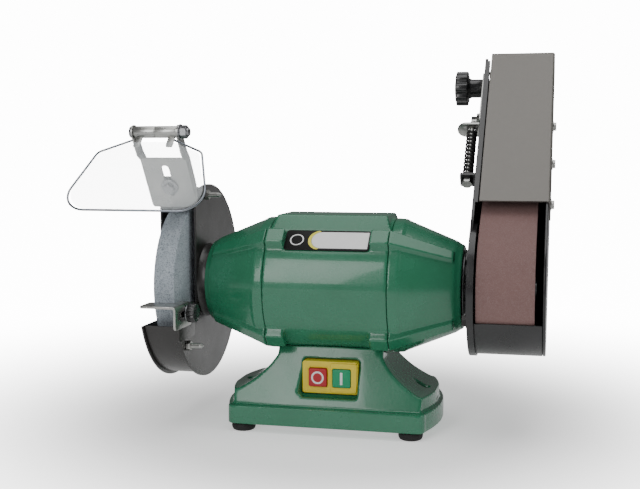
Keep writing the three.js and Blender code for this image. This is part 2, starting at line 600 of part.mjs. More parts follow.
function guardBand() {
  const shape = new THREE.Shape();
  shape.absarc(0, 0, GUARD_BAND_R, GUARD_START_ANGLE, GUARD_END_ANGLE, false);
  shape.absarc(0, 0, GUARD_INNER_R, GUARD_END_ANGLE, GUARD_START_ANGLE, true);
  return prismX(shape, GUARD_OPEN_X, GUARD_X, 18);
}

/** Lower front edge of the shield bracket, as (y, z) from the spindle axis. */
const bracketFoot = { y: -45, z: WHEEL_R - 2 };
const bracketX = (GUARD_X + GUARD_OPEN_X) / 2 + 0.3;
const lean = radians(BRACKET_LEAN);

/** A point of the bracket's plane: s up the plate, o behind its back face. */
function onBracket(s, o) {
  const y = bracketFoot.y - s * Math.sin(lean) + o * Math.cos(lean);
  const z = bracketFoot.z + s * Math.cos(lean) + o * Math.sin(lean);
  return [y, z];
}

function bracketStrip(s0, s1, o0, o1) {
  return polygon(onBracket(s0, o1), onBracket(s0, o0), onBracket(s1, o0), onBracket(s1, o1));
}

/** How far up the bracket, and how far behind it, the guard's band ends. */
function bandEndOnBracket() {
  const [y, z] = around(GUARD_BAND_R - GUARD_SHEET / 2, GUARD_END_ANGLE);
  const [dy, dz] = [y - bracketFoot.y, z - bracketFoot.z];
  return [dz * Math.cos(lean) - dy * Math.sin(lean), dy * Math.cos(lean) + dz * Math.sin(lean)];
}

/** A round tool square to the bracket's plate. */
function acrossBracket(r, s, o0, o1, sides = SEGMENTS) {
  const rod = new THREE.CylinderGeometry(r, r, o1 - o0, sides).rotateX(lean);
  return rod.translate(bracketX, ...onBracket(s, (o0 + o1) / 2));
}

function guardScrewPlaces() {
  return GUARD_SCREW_ANGLES.map((degrees) => around(GUARD_SCREW_PITCH_R, radians(degrees)));
}

function guardScrewHoles(x0, x1) {
  return guardScrewPlaces().map(([y, z]) => rodX(GUARD_SCREW_R + GAP, x0, x1, y, z, 16));
}

function wheelGuard() {
  const plate = prismX(guardOutline(GUARD_R), GUARD_X - GUARD_SHEET, GUARD_X, 18);
  const hub = rodX(GUARD_HUB_R, GUARD_X - EPS, -BELL_END_X - GAP);
  const tabHalf = BRACKET_WIDTH / 4;
  const [kneeS, kneeO] = bandEndOnBracket();
  const tabLow = kneeS - GUARD_SHEET / 2;
  const tab = prismX(bracketStrip(tabLow, BRACKET_BOLT_HEIGHT + 9, GAP, GUARD_SHEET + GAP),
    bracketX - tabHalf, bracketX + tabHalf);
  const knee = prismX(bracketStrip(tabLow, tabLow + GUARD_SHEET, GUARD_SHEET, kneeO + 3),
    bracketX - tabHalf, bracketX + tabHalf);
  const boltHole = acrossBracket(BRACKET_BOLT_R + GAP, BRACKET_BOLT_HEIGHT, -5, 8, 16);
  const bore = rodX(SLEEVE_R + 1, GUARD_X - 2 * GUARD_SHEET, -BELL_END_X + EPS);
  return cut(join(plate, hub, guardBand(), tab, knee), bore, boltHole,
    ...guardScrewHoles(GUARD_X - 2 * GUARD_SHEET, GUARD_X + EPS));
}

const GUARD_COVER_X = GUARD_OPEN_X - GAP;
const DOME_X = SHAFT_LEFT_X - 2;

function guardCover() {
  const plate = prismX(guardOutline(GUARD_R), GUARD_COVER_X - GUARD_SHEET, GUARD_COVER_X, 18);
  const dome = rodX(COVER_DOME_R, DOME_X - GUARD_SHEET, GUARD_COVER_X);
  const cavity = rodX(COVER_DOME_R - GUARD_SHEET, DOME_X, GUARD_COVER_X + EPS);
  return cut(join(plate, dome), cavity,
    ...guardScrewHoles(GUARD_COVER_X - GUARD_SHEET - EPS, GUARD_COVER_X + EPS));
}

part(onAxis, "wheel_guard", wheelGuard(), BLACK);
part(onAxis, "guard_cover", guardCover(), BLACK);

const SCREW_HEAD_X = GUARD_COVER_X - GUARD_SHEET - GAP;
guardScrewPlaces().forEach(([y, z], index) => {
  const screw = turned([[0, SCREW_HEAD_X - 2.6], [GUARD_SCREW_R + 2, SCREW_HEAD_X - 2.6],
    [GUARD_SCREW_R + 2, SCREW_HEAD_X], [GUARD_SCREW_R, SCREW_HEAD_X], [GUARD_SCREW_R, GUARD_X + 13.5],
    [0.6, GUARD_X + 16], [0, GUARD_X + 11.5]], 16);
  part(onAxis, `guard_screw_${index + 1}`, screw, ZINC, [0, y, z]);
  const nut = cut(rodX(GUARD_NUT_R, GUARD_X + GAP, GUARD_X + 4, 0, 0, 6),
    rodX(GUARD_SCREW_R + GAP, GUARD_X, GUARD_X + 5, 0, 0, 16));
  part(onAxis, `guard_nut_${index + 1}`, nut, ZINC, [0, y, z]);
});

// ---------------------------------------------------------------- tool rest
const REST_BRACKET_X = GUARD_X + GAP;
const REST_LEG_X = REST_BRACKET_X + REST_SHEET + GAP;
const REST_LEG_END_X = REST_LEG_X + REST_SHEET;
const REST_BACK_Y = -(Math.sqrt(WHEEL_R ** 2 - REST_DROP ** 2) + REST_GAP);
const REST_FRONT_Y = REST_BACK_Y - REST_DEPTH;
const REST_STUD_Y = -WHEEL_R;

function restBracket() {
  const [, screwZ] = guardScrewPlaces()[0];
  const low = screwZ + GUARD_NUT_R + REST_BRACKET_CLEAR;
  const plate = box(REST_BRACKET_X, REST_BRACKET_X + REST_SHEET, REST_STUD_Y - 13, REST_STUD_Y + 27,
    low, REST_STUD_R + 4.5 - REST_STUD_DROP);
  return cut(plate, rodX(REST_STUD_R + GAP, GUARD_X, REST_LEG_X, REST_STUD_Y, -REST_STUD_DROP, 16));
}

function toolRest() {
  const top = box(WHEEL_OUTER_X - 2, REST_LEG_END_X, REST_FRONT_Y, REST_BACK_Y + 12,
    -REST_DROP - REST_SHEET, -REST_DROP);
  const leg = box(REST_LEG_X, REST_LEG_END_X, REST_FRONT_Y, REST_BACK_Y + 15,
    -REST_DROP - REST_LEG_HEIGHT, -REST_DROP);
  const notch = box(WHEEL_OUTER_X - 2 - EPS, WHEEL_X + 1.5, REST_BACK_Y, 0, -REST_DROP - 3, EPS);
  const half = (REST_SLOT_LENGTH - 2 * REST_STUD_R) / 2;
  const middle = REST_STUD_Y - 3;
  const groove = prismX(slot([middle - half, -REST_STUD_DROP], [middle + half, -REST_STUD_DROP],
    2 * (REST_STUD_R + GAP)), REST_LEG_X - EPS, REST_LEG_END_X + EPS, 6);
  return cut(join(top, leg), notch, groove);
}

function restKnob() {
  const grip = rodX(REST_KNOB_R, REST_LEG_END_X + GAP, REST_LEG_END_X + REST_KNOB_LENGTH, 0, 0, 12);
  return join(grip, rodX(REST_STUD_R, REST_BRACKET_X, REST_LEG_END_X + EPS, 0, 0, 16));
}

part(onAxis, "rest_bracket", restBracket(), BLACK);
part(onAxis, "tool_rest", toolRest(), ZINC);
part(onAxis, "rest_knob", restKnob(), BLACK, [0, REST_STUD_Y, -REST_STUD_DROP]);

// ---------------------------------------------------------------- eye shield
function shieldBracket() {
  const half = BRACKET_WIDTH / 2;
  const plate = prismX(bracketStrip(0, BRACKET_LENGTH, -BRACKET_SHEET, 0), bracketX - half, bracketX + half);
  const ears = [-1, 1].map((side) => {
    const x0 = side > 0 ? bracketX + half - BRACKET_SHEET : bracketX - half;
    const low = prismX(bracketStrip(BRACKET_LENGTH * 0.3, BRACKET_LENGTH + EPS, -BRACKET_SHEET, BRACKET_EAR),
      x0, x0 + BRACKET_SHEET);
    const high = prismX(bracketStrip(BRACKET_LENGTH, HINGE_PIN_HEIGHT, -HINGE_PIN_R * 1.8, HINGE_PIN_R * 1.8),
      x0, x0 + BRACKET_SHEET);
    const eye = rodX(HINGE_PIN_R * 1.8, x0, x0 + BRACKET_SHEET, ...onBracket(HINGE_PIN_HEIGHT, 0), 20);
    return join(low, high, eye);
  });
  const slotLow = BRACKET_SLOT_START + BRACKET_SLOT_WIDTH / 2;
  const slotTop = BRACKET_SLOT_START + BRACKET_SLOT_LENGTH - BRACKET_SLOT_WIDTH / 2;
  const run = prismX(bracketStrip(slotLow, slotTop, -3, 3),
    bracketX - BRACKET_SLOT_WIDTH / 2, bracketX + BRACKET_SLOT_WIDTH / 2);
  const ends = [slotLow, slotTop].map((s) =>
    acrossBracket(BRACKET_SLOT_WIDTH / 2, s, -3, 3, 24));
  const eyeHole = rodX(HINGE_PIN_R + GAP, bracketX - BRACKET_WIDTH, bracketX + BRACKET_WIDTH,
    ...onBracket(HINGE_PIN_HEIGHT, 0), 20);
  return cut(join(plate, ...ears), run, ...ends, eyeHole);
}

function bracketBolt() {
  const shank = acrossBracket(BRACKET_BOLT_R, BRACKET_BOLT_HEIGHT, -BRACKET_SHEET - 4, 7, 16);
  const washer = acrossBracket(BRACKET_BOLT_R + 5, BRACKET_BOLT_HEIGHT, -BRACKET_SHEET - 1.8,
    -BRACKET_SHEET - GAP, 20);
  const head = acrossBracket(BRACKET_BOLT_R + 2.5, BRACKET_BOLT_HEIGHT, -BRACKET_SHEET - 5.5,
    -BRACKET_SHEET - 1.5, 6);
  return join(shank, washer, head);
}

function hingePin() {
  const side = BRACKET_WIDTH / 2 + GAP;
  const pin = rodX(HINGE_PIN_R, -side - 1, side + HINGE_PIN_OVERHANG, 0, 0, 20);
  const head = rodX(HINGE_PIN_R + 2, -side - 2.5, -side, 0, 0, 20);
  const nut = rodX(HINGE_PIN_R + 2.5, side, side + HINGE_PIN_OVERHANG - 2, 0, 0, 6);
  return join(pin, head, nut);
}

const pinPlace = [bracketX, ...onBracket(HINGE_PIN_HEIGHT, 0)];
part(onAxis, "shield_bracket", shieldBracket(), ZINC);
part(onAxis, "bracket_bolt", bracketBolt(), STEEL);
part(onAxis, "hinge_pin", hingePin(), STEEL, pinPlace);

const shield = new THREE.Group();
shield.position.set(...pinPlace);
shield.rotation.x = -radians(SHIELD_SLOPE);
onAxis.add(shield);

/** Outline of the shield from its clip round to its clip, as (x, z) corners with a radius. */
function shieldCorners(inset) {
  const top = SHIELD_TOP_HALF - inset;
  const low = SHIELD_BOTTOM_HALF - inset;
  return [[-top, -SHIELD_TOP_DROP - inset, 4], [-low, inset - SHIELD_DROP, 19],
    [low, inset - SHIELD_DROP, 19], [top, -SHIELD_TOP_DROP - inset, 4]];
}

/** Points along a polyline whose inner corners are rounded. */
function roundedRun(start, corners, end, steps = 6) {
  const points = [new THREE.Vector2(...start)];
  corners.forEach(([x, z, radius], index) => {
    const corner = new THREE.Vector2(x, z);
    const before = index ? corners[index - 1] : start;
    const after = index < corners.length - 1 ? corners[index + 1] : end;
    const back = new THREE.Vector2(before[0], before[1]).sub(corner).setLength(radius).add(corner);
    const ahead = new THREE.Vector2(after[0], after[1]).sub(corner).setLength(radius).add(corner);
    points.push(...new THREE.QuadraticBezierCurve(back, corner, ahead).getPoints(steps));
  });
  points.push(new THREE.Vector2(...end));
  return points;
}

function shieldFrame() {
  const start = [-CLIP_HALF - GAP, -9];
  const run = roundedRun(start, shieldCorners(0), [-start[0], start[1]]);
  const path = new THREE.CurvePath();
  for (let i = 1; i < run.length; i += 1) {
    path.add(new THREE.LineCurve3(new THREE.Vector3(run[i - 1].x, 0, run[i - 1].y),
      new THREE.Vector3(run[i].x, 0, run[i].y)));
  }
  const section = new THREE.Shape().absarc(0, 0, WIRE_R, 0, 2 * Math.PI, false);
  return new THREE.ExtrudeGeometry(section, { steps: 44, curveSegments: 3, extrudePath: path });
}

function shieldLens() {
  const inset = WIRE_R + 0.8;
  const run = roundedRun([-CLIP_HALF, -11 - inset], shieldCorners(inset), [CLIP_HALF, -11 - inset]);
  return prismY(new THREE.Shape(run), -LENS_THICKNESS / 2, LENS_THICKNESS / 2);
}

function shieldClip() {
  const sleeve = ringX(HINGE_PIN_R + GAP, HINGE_PIN_R + GAP + 1.5, -CLIP_HALF, CLIP_HALF, 20);
  const tabs = [-1, 1].map((side) => box(side * (CLIP_HALF - 4.5) - 3, side * (CLIP_HALF - 4.5) + 3,
    LENS_THICKNESS / 2 + GAP, LENS_THICKNESS / 2 + GAP + 1.5, -16, -HINGE_PIN_R - 1));
  return join(sleeve, ...tabs);
}

part(shield, "shield_frame", shieldFrame(), ZINC);
part(shield, "shield_lens", shieldLens(), CLEAR);
part(shield, "shield_clip", shieldClip(), ZINC);

// ---------------------------------------------------------------- belt arm
const arm = new THREE.Group();
arm.rotation.x = -radians(ARM_LEAN);
onAxis.add(arm);

part(onAxis, "arm_flange", turned([[SLEEVE_R + 1, BELL_END_X + GAP], [FLANGE_R, BELL_END_X + GAP],
  [FLANGE_R, ARM_X - GAP], [SPIGOT_R, ARM_X - GAP], [SPIGOT_R, ARM_X + SPIGOT_LENGTH],
  [SLEEVE_R + 1, ARM_X + SPIGOT_LENGTH], [SLEEVE_R + 1, BELL_END_X + GAP]], LARGE_SEGMENTS), BLACK);

/** Side view of the arm's housing: round the drum, straight in front, tapering behind. */
function armOutline(inset) {
  const low = ARM_R - inset;
  const high = ARM_TOP_R - inset;
  const corner = ARM_CORNER - inset;
  const topCentre = ARM_LENGTH - ARM_TOP_R;
  const taper = Math.asin((ARM_R - ARM_TOP_R) / topCentre);
  const shape = new THREE.Shape();
  shape.absarc(0, 0, low, Math.PI, 2 * Math.PI + taper, false);
  shape.absarc(0, topCentre, high, taper, Math.PI / 2, false);
  shape.absarc(-low + corner, ARM_LENGTH - inset - corner, corner, Math.PI / 2, Math.PI, false);
  return shape;
}

/** Outline of a belt that wraps the drum's circle and the idler's circle. */
function beltOutline(low, high) {
  const wrap = Math.asin((low - high) / IDLER_DISTANCE);
  const shape = new THREE.Shape();
  shape.absarc(0, 0, low, Math.PI - wrap, 2 * Math.PI + wrap, false);
  shape.absarc(0, IDLER_DISTANCE, high, wrap, Math.PI - wrap, false);
  return shape;
}

function clampBoltPlace() {
  return around(CLAMP_BOLT_RADIUS, radians(CLAMP_BOLT_ANGLE));
}

function axleSlot(extra) {
  return prismX(slot([0, IDLER_DISTANCE - TENSION_TRAVEL - extra], [0, IDLER_DISTANCE + extra],
    2 * (AXLE_R + 1)), ARM_X - EPS, ARM_INNER_X + EPS, 8);
}

function armPlate() {
  const plate = prismX(armOutline(0), ARM_X, ARM_INNER_X, 12);
  const lip = box(ARM_INNER_X - EPS, BELT_X - 2.5, -ARM_R, -ARM_R + ARM_BAND_WALL,
    COVER_START, ARM_LENGTH - ARM_CORNER - 1);
  const dish = rodX(DISH_RIM_R, ARM_X, ARM_X + DISH_DEPTH, 0, 0, 48);
  const inside = rodX(ARM_R + GAP, ARM_INNER_X, ARM_X + DISH_DEPTH + EPS, 0, 0, 48);
  const far = ARM_R * 2;
  const above = prismX(polygon([-far, ARM_R / 2], [0, ARM_R / 2], [0, -DISH_RIM_DROP], [far, -DISH_RIM_DROP],
    [far, far], [-far, far]), ARM_X - EPS, ARM_X + DISH_DEPTH + EPS);
  const rim = cut(dish, inside, above);
  const pivot = rodX(SPIGOT_R + GAP, ARM_X - EPS, ARM_INNER_X + EPS, 0, 0, LARGE_SEGMENTS);
  const clampHole = rodX(CLAMP_BOLT_R + GAP, ARM_X - EPS, ARM_INNER_X + EPS, ...clampBoltPlace(), 16);
  return cut(join(plate, lip, rim), pivot, clampHole, axleSlot(0));
}

function armBand() {
  const start = ARM_INNER_X + GAP;
  const solid = prismX(armOutline(0), start, BAND_END_X, 12);
  const inside = prismX(armOutline(ARM_BAND_WALL), start - EPS, BAND_END_X + EPS, 12);
  const edge = around(ARM_R * 1.3, radians(252));
  const mouth = prismX(polygon([-ARM_R * 1.3, edge[1]], edge, [-10, 0], [-40, COVER_START],
    [-40, ARM_LENGTH + EPS], [-ARM_R * 1.3, ARM_LENGTH + EPS]), start - EPS, BAND_END_X + EPS);
  return cut(solid, inside, mouth);
}

function outerCover() {
  return prismX(armOutline(0), OUTER_COVER_X, OUTER_COVER_END_X, 12);
}

function frontCover() {
  const x0 = BELT_X - 1.7;
  const flangeX = OUTER_COVER_END_X + GAP;
  const x1 = flangeX + ARM_BAND_WALL;
  const front = -ARM_R - GAP - ARM_BAND_WALL;
  const top = ARM_LENGTH + GAP + ARM_BAND_WALL;
  const face = box(x0, x1, front, -ARM_R - GAP, COVER_START, top);
  const flange = box(flangeX, x1, front, front + COVER_FLANGE, COVER_START, top);
  const cap = box(x0, x1, front, front + COVER_FLANGE, ARM_LENGTH + GAP, top);
  return join(face, flange, cap);
}

/** A point s along the belt's front run and o behind its inner face. */
function behindBelt(s, o) {
  const low = DRUM_R + GAP;
  const wrap = Math.asin((DRUM_R - IDLER_R) / IDLER_DISTANCE);
  const y = -low * Math.cos(wrap) + s * Math.sin(wrap) + o * Math.cos(wrap);
  const z = low * Math.sin(wrap) + s * Math.cos(wrap) - o * Math.sin(wrap);
  return [y, z];
}

function behindBeltStrip(s0, s1, o0, o1) {
  return polygon(behindBelt(s0, o0), behindBelt(s0, o1), behindBelt(s1, o1), behindBelt(s1, o0));
}

function platen() {
  const face = 2 * GAP;
  const back = face + PLATEN_THICKNESS;
  const end = PLATEN_START + PLATEN_LENGTH;
  const plate = prismX(behindBeltStrip(PLATEN_START, end, face, back), BELT_X + 2, BELT_END_X - 2);
  const leg = prismX(behindBeltStrip(PLATEN_START + 30, end - 30, back - EPS, back + 4),
    ARM_INNER_X + GAP, BELT_END_X - 2);
  return join(plate, leg);
}

function belt() {
  const outside = prismX(beltOutline(DRUM_R + GAP + BELT_THICKNESS, IDLER_R + GAP + BELT_THICKNESS),
    BELT_X, BELT_END_X, 24);
  return cut(outside, prismX(beltOutline(DRUM_R + GAP, IDLER_R + GAP), BELT_X - EPS, BELT_END_X + EPS, 24));
}

function springBracket() {
  const top = SPRING_BOTTOM_Z - GAP;
  const tab = box(TENSION_X - 7, CARRIAGE_X, TENSION_Y - 8, TENSION_Y + 8, top - 3, top);
  const leaf = box(CARRIAGE_X - 2, CARRIAGE_X, TENSION_Y - 8, TENSION_Y + 8, top - 14, top);
  return cut(join(tab, leaf), rodZ(TENSION_BOLT_R + GAP, top - 4, top + EPS, TENSION_X, TENSION_Y, 16));
}

function tensionBolt() {
  const headTop = SPRING_BOTTOM_Z - 2 * GAP - 3;
  const head = rodZ(TENSION_BOLT_R + 2.5, headTop - 5, headTop, TENSION_X, TENSION_Y, 6);
  return join(head, rodZ(TENSION_BOLT_R, headTop - EPS, TONGUE_Z + 12, TENSION_X, TENSION_Y, 16));
}

function armClampBolt() {
  const head = rodX(CLAMP_BOLT_R + 1.5, ARM_X - GAP - 4.5, ARM_X - GAP, 0, 0, 6);
  return join(head, rodX(CLAMP_BOLT_R, ARM_X - EPS, ARM_INNER_X + 4, 0, 0, 16));
}

part(arm, "arm_plate", armPlate(), BLACK);
part(arm, "arm_band", armBand(), BLACK);
part(arm, "outer_cover", outerCover(), BLACK);
part(arm, "front_cover", frontCover(), SATIN);
part(arm, "platen", platen(), STEEL);
part(arm, "belt", belt(), GRIT);
part(arm, "spring_bracket", springBracket(), BLACK);
part(arm, "tension_bolt", tensionBolt(), ZINC);
part(arm, "arm_clamp_bolt", armClampBolt(), ZINC, [0, ...clampBoltPlace()]);

// ---------------------------------------------------------------- belt tension and tracking
function tensionSlide() {
  const plateX = CARRIAGE_X - CARRIAGE_SHEET;
  const plate = box(plateX, CARRIAGE_X, KNOB_Y - 12, AXLE_R + 9, TONGUE_Z, IDLER_DISTANCE + KNOB_RISE + 10);
  const tongue = box(plateX - TONGUE_LENGTH + 9, plateX + EPS, TENSION_Y - 9, TENSION_Y + 9,
    TONGUE_Z, TONGUE_Z + 3);
  const tip = rodZ(9, TONGUE_Z, TONGUE_Z + 3, plateX - TONGUE_LENGTH + 9, TENSION_Y);
  const axle = rodX(AXLE_R, plateX - 12, BELT_END_X, 0, IDLER_DISTANCE, 20);
  const bore = rodZ(TENSION_BOLT_R + GAP, TONGUE_Z - EPS, TONGUE_Z + 4, TENSION_X, TENSION_Y, 16);
  return cut(join(plate, tongue, tip, axle), bore);
}

function tensionSpring() {
  const steps = SPRING_TURNS * 7;
  const rise = SPRING_LENGTH - 2 * SPRING_WIRE_R - 2 * GAP;
  const points = [];
  for (let i = 0; i <= steps; i += 1) {
    const [x, y] = around(SPRING_R, (2 * Math.PI * SPRING_TURNS * i) / steps);
    points.push(new THREE.Vector3(x, y, (rise * i) / steps));
  }
  const section = new THREE.Shape().absarc(0, 0, SPRING_WIRE_R, 0, 2 * Math.PI, false);
  const path = new THREE.CatmullRomCurve3(points);
  return new THREE.ExtrudeGeometry(section, { steps, curveSegments: 3, extrudePath: path });
}

function trackingKnob() {
  const end = CARRIAGE_X - CARRIAGE_SHEET - GAP;
  const headEnd = end - KNOB_STEM_LENGTH;
  const head = rodX(KNOB_R, headEnd - KNOB_WIDTH, headEnd, 0, 0, 48);
  const flutes = [];
  for (let i = 0; i < KNOB_LOBES; i += 1) {
    const [y, z] = around(KNOB_R + 1, (2 * Math.PI * i) / KNOB_LOBES);
    flutes.push(rodX(3.2, headEnd - KNOB_WIDTH - EPS, headEnd + EPS, y, z, 12));
  }
  return join(cut(head, ...flutes), rodX(KNOB_STEM_R, headEnd - EPS, end));
}

part(arm, "tension_slide", tensionSlide(), ZINC);
part(arm, "tension_spring", tensionSpring(), BLACK,
  [TENSION_X, TENSION_Y, SPRING_BOTTOM_Z + SPRING_WIRE_R + GAP]);
part(arm, "idler_roller", ringX(AXLE_R + GAP, IDLER_R, BELT_X + 1.6, BELT_END_X - 1.6), STEEL,
  [0, 0, IDLER_DISTANCE]);
part(arm, "tracking_knob", trackingKnob(), BLACK, [0, KNOB_Y, IDLER_DISTANCE + KNOB_RISE]);

// ---------------------------------------------------------------- whole machine
// The origin goes to the middle of the machine's footprint, at bench level.
const bounds = new THREE.Box3().setFromObject(machine, true);
const middle = bounds.getCenter(new THREE.Vector3());
machine.position.set(-middle.x, -middle.y, -bounds.min.z);
machine.updateMatrixWorld(true);

export default machine;
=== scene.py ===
"""Looks of a bench grinder with a belt sanding arm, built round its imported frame.

Sizes inside the classes are millimetres from the spindle's axis: x along the spindle,
y to the back, z up. Pieces are moved to the frame's own metres when they are finished.
"""

import json
import logging
import math
from dataclasses import dataclass, field
from enum import Enum

import bmesh
import bpy
from mathutils import Matrix, Vector


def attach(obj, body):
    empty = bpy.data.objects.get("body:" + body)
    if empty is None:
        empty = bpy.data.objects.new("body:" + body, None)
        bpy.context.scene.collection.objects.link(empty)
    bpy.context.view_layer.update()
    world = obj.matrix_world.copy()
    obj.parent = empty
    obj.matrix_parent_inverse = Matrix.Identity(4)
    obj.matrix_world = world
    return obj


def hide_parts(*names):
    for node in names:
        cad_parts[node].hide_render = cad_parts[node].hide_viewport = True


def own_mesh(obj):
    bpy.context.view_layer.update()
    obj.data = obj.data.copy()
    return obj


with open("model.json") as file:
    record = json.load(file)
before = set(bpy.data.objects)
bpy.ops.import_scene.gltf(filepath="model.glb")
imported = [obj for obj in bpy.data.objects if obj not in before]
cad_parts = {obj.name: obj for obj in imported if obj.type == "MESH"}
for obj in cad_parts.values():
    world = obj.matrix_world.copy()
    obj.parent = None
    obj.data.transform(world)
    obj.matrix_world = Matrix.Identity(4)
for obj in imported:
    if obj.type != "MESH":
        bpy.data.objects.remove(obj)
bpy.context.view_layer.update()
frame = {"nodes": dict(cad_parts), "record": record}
LOG = logging.getLogger("grinder")
MM = 0.001
Outline = list[tuple[float, float]]
Colour = tuple[float, float, float]


# ------------------------------------------------------------------ places
@dataclass(frozen=True)
class Datum:
    """The spindle's axis in the frame, and how the arm and the shield lean."""

    axis: Vector
    arm_lean: float
    pin: Vector

    @classmethod
    def read(cls) -> "Datum":
        """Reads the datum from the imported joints.

        Returns:
            The datum.
        """
        joints = {row["name"]: row for row in frame["record"]["behaviour"]["joints"]}
        axis = Vector(joints["spindle_spin"]["pos_m"])
        along = joints["belt_tension"]["axis"]
        pin = (Vector(joints["shield_tilt"]["pos_m"]) - axis) / MM
        return cls(axis, math.atan2(along[1], along[2]), pin)

    def to_frame(self, local: Matrix | None = None) -> Matrix:
        """Builds the matrix from a local millimetre frame to the frame's metres.

        Args:
            local: where the local frame stands from the spindle's axis.

        Returns:
            The matrix.
        """
        return Matrix.Translation(self.axis) @ Matrix.Scale(MM, 4) @ (local or Matrix())

    def arm(self) -> Matrix:
        """The arm's own frame: z along the arm, -y out of its front."""
        return Matrix.Rotation(-self.arm_lean, 4, "X")


DATUM = Datum.read()


# ------------------------------------------------------------------ outlines
def arc(u: float, v: float, r: float, start: float, end: float, steps: int = 12) -> Outline:
    """Points along an arc.

    Args:
        u: centre, first direction.
        v: centre, second direction.
        r: radius.
        start: first angle in degrees.
        end: last angle in degrees.
        steps: number of chords.

    Returns:
        The points, both ends included.
    """
    turns = [math.radians(start + (end - start) * i / steps) for i in range(steps + 1)]
    return [(u + r * math.cos(t), v + r * math.sin(t)) for t in turns]


def rounded(corners: list[tuple[float, float, float]], steps: int = 5) -> Outline:
    """Rounds the corners of a closed polygon.

    Args:
        corners: (u, v, radius) of each corner.
        steps: chords in each rounded corner.

    Returns:
        The outline.
    """
    points: Outline = []
    count = len(corners)
    for i, (u, v, radius) in enumerate(corners):
        here = Vector((u, v))
        if radius <= 0:
            points.append((u, v))
            continue
        before = (Vector(corners[i - 1][:2]) - here).normalized()
        after = (Vector(corners[(i + 1) % count][:2]) - here).normalized()
        half = before.angle(after) / 2
        if abs(half - math.pi / 2) < 1e-4:
            points.append((u, v))
            continue
        reach = radius / math.tan(half)
        centre = here + (before + after).normalized() * radius / math.sin(half)
        a = here + before * reach - centre
        b = here + after * reach - centre
        sweep = a.angle_signed(b)
        for k in range(steps + 1):
            spoke = a.copy()
            spoke.rotate(Matrix.Rotation(-sweep * k / steps, 2))
            points.append((centre.x + spoke.x, centre.y + spoke.y))
    return points


def rectangle(u0: float, u1: float, v0: float, v1: float, radius: float = 0.0) -> Outline:
    """A rectangle whose corners may be round."""
    return rounded([(u0, v0, radius), (u1, v0, radius), (u1, v1, radius), (u0, v1, radius)])


def oval(u: float, v: float, length: float, width: float, turn: float = 0.0) -> Outline:
    """A slot with round ends, its length turned by an angle in degrees."""
    half = (length - width) / 2
    du, dv = half * math.cos(math.radians(turn)), half * math.sin(math.radians(turn))
    ahead = arc(u + du, v + dv, width / 2, turn - 90, turn + 90, 8)
    behind = arc(u - du, v - dv, width / 2, turn + 90, turn + 270, 8)
    return ahead + behind


def bezier(a: tuple, control: tuple, b: tuple, steps: int = 10) -> Outline:
    """Points along a quadratic curve, both ends included."""
    points = []
    for i in range(steps + 1):
        t = i / steps
        weights = ((1 - t) ** 2, 2 * t * (1 - t), t ** 2)
        points.append(tuple(sum(w * p[k] for w, p in zip(weights, (a, control, b))) for k in (0, 1)))
    return points


def spin_point(radius: float, degrees: float) -> tuple[float, float]:
    """The (y, z) place at a radius and angle about the x axis."""
    return radius * math.cos(math.radians(degrees)), radius * math.sin(math.radians(degrees))


# ------------------------------------------------------------------ meshes
AXES = {"X": lambda u, v, w: (w, u, v), "Y": lambda u, v, w: (u, w, v), "Z": lambda u, v, w: (u, v, w)}


def new_object(mesh_maker: bmesh.types.BMesh, name: str = "work") -> bpy.types.Object:
    """Makes a linked object from a bmesh and frees the bmesh."""
    bmesh.ops.recalc_face_normals(mesh_maker, faces=mesh_maker.faces[:])
    mesh = bpy.data.meshes.new(name)
    mesh_maker.to_mesh(mesh)
    mesh_maker.free()
    thing = bpy.data.objects.new(name, mesh)
    bpy.context.scene.collection.objects.link(thing)
    return thing


def prism(outline: Outline, low: float, high: float, axis: str = "X", holes: tuple = ()) -> bpy.types.Object:
    """Pushes an outline along an axis.

    Args:
        outline: (y, z) points for axis X, (x, z) for Y, (x, y) for Z.
        low: where the solid starts along the axis.
        high: where it ends.
        axis: X, Y or Z.
        holes: outlines of holes that go right through.

    Returns:
        The solid.
    """
    bm = bmesh.new()
    place = AXES[axis]
    edges = []
    verts = []
    for loop in (outline, *holes):
        verts = [bm.verts.new(place(u, v, low)) for u, v in loop]
        edges += [bm.edges.new((a, b)) for a, b in zip(verts, verts[1:] + verts[:1])]
    if holes:
        bmesh.ops.triangle_fill(bm, edges=edges, use_beauty=True)
    else:
        bm.faces.new(verts)
    grown = bmesh.ops.extrude_face_region(bm, geom=bm.faces[:])
    moved = [item for item in grown["geom"] if isinstance(item, bmesh.types.BMVert)]
    bmesh.ops.translate(bm, verts=moved, vec=place(0, 0, high - low))
    bmesh.ops.dissolve_limit(bm, angle_limit=0.001, verts=bm.verts[:], edges=bm.edges[:])
    return new_object(bm)


def turned(profile: Outline, segments: int = 72) -> bpy.types.Object:
    """Turns a closed (radius, x) profile about the x axis.

    Args:
        profile: the corners; a corner on the axis becomes a pole.
        segments: steps round the axis.

    Returns:
        The solid.
    """
    bm = bmesh.new()
    rings = []
    for r, x in profile:
        if r < 1e-6:
            rings.append([bm.verts.new((x, 0, 0))])
            continue
        angles = [2 * math.pi * i / segments for i in range(segments)]
        rings.append([bm.verts.new((x, r * math.cos(t), r * math.sin(t))) for t in angles])
    pairs = list(zip(rings, rings[1:]))
    if len(rings[0]) > 1 and len(rings[-1]) > 1:
        pairs.append((rings[-1], rings[0]))
    for a, b in pairs:
        for i in range(segments):
            j = (i + 1) % segments
            corners = [a[i % len(a)], a[j % len(a)], b[j % len(b)], b[i % len(b)]]
            unique = list(dict.fromkeys(corners))
            if len(unique) > 2:
                bm.faces.new(unique)
    return new_object(bm)


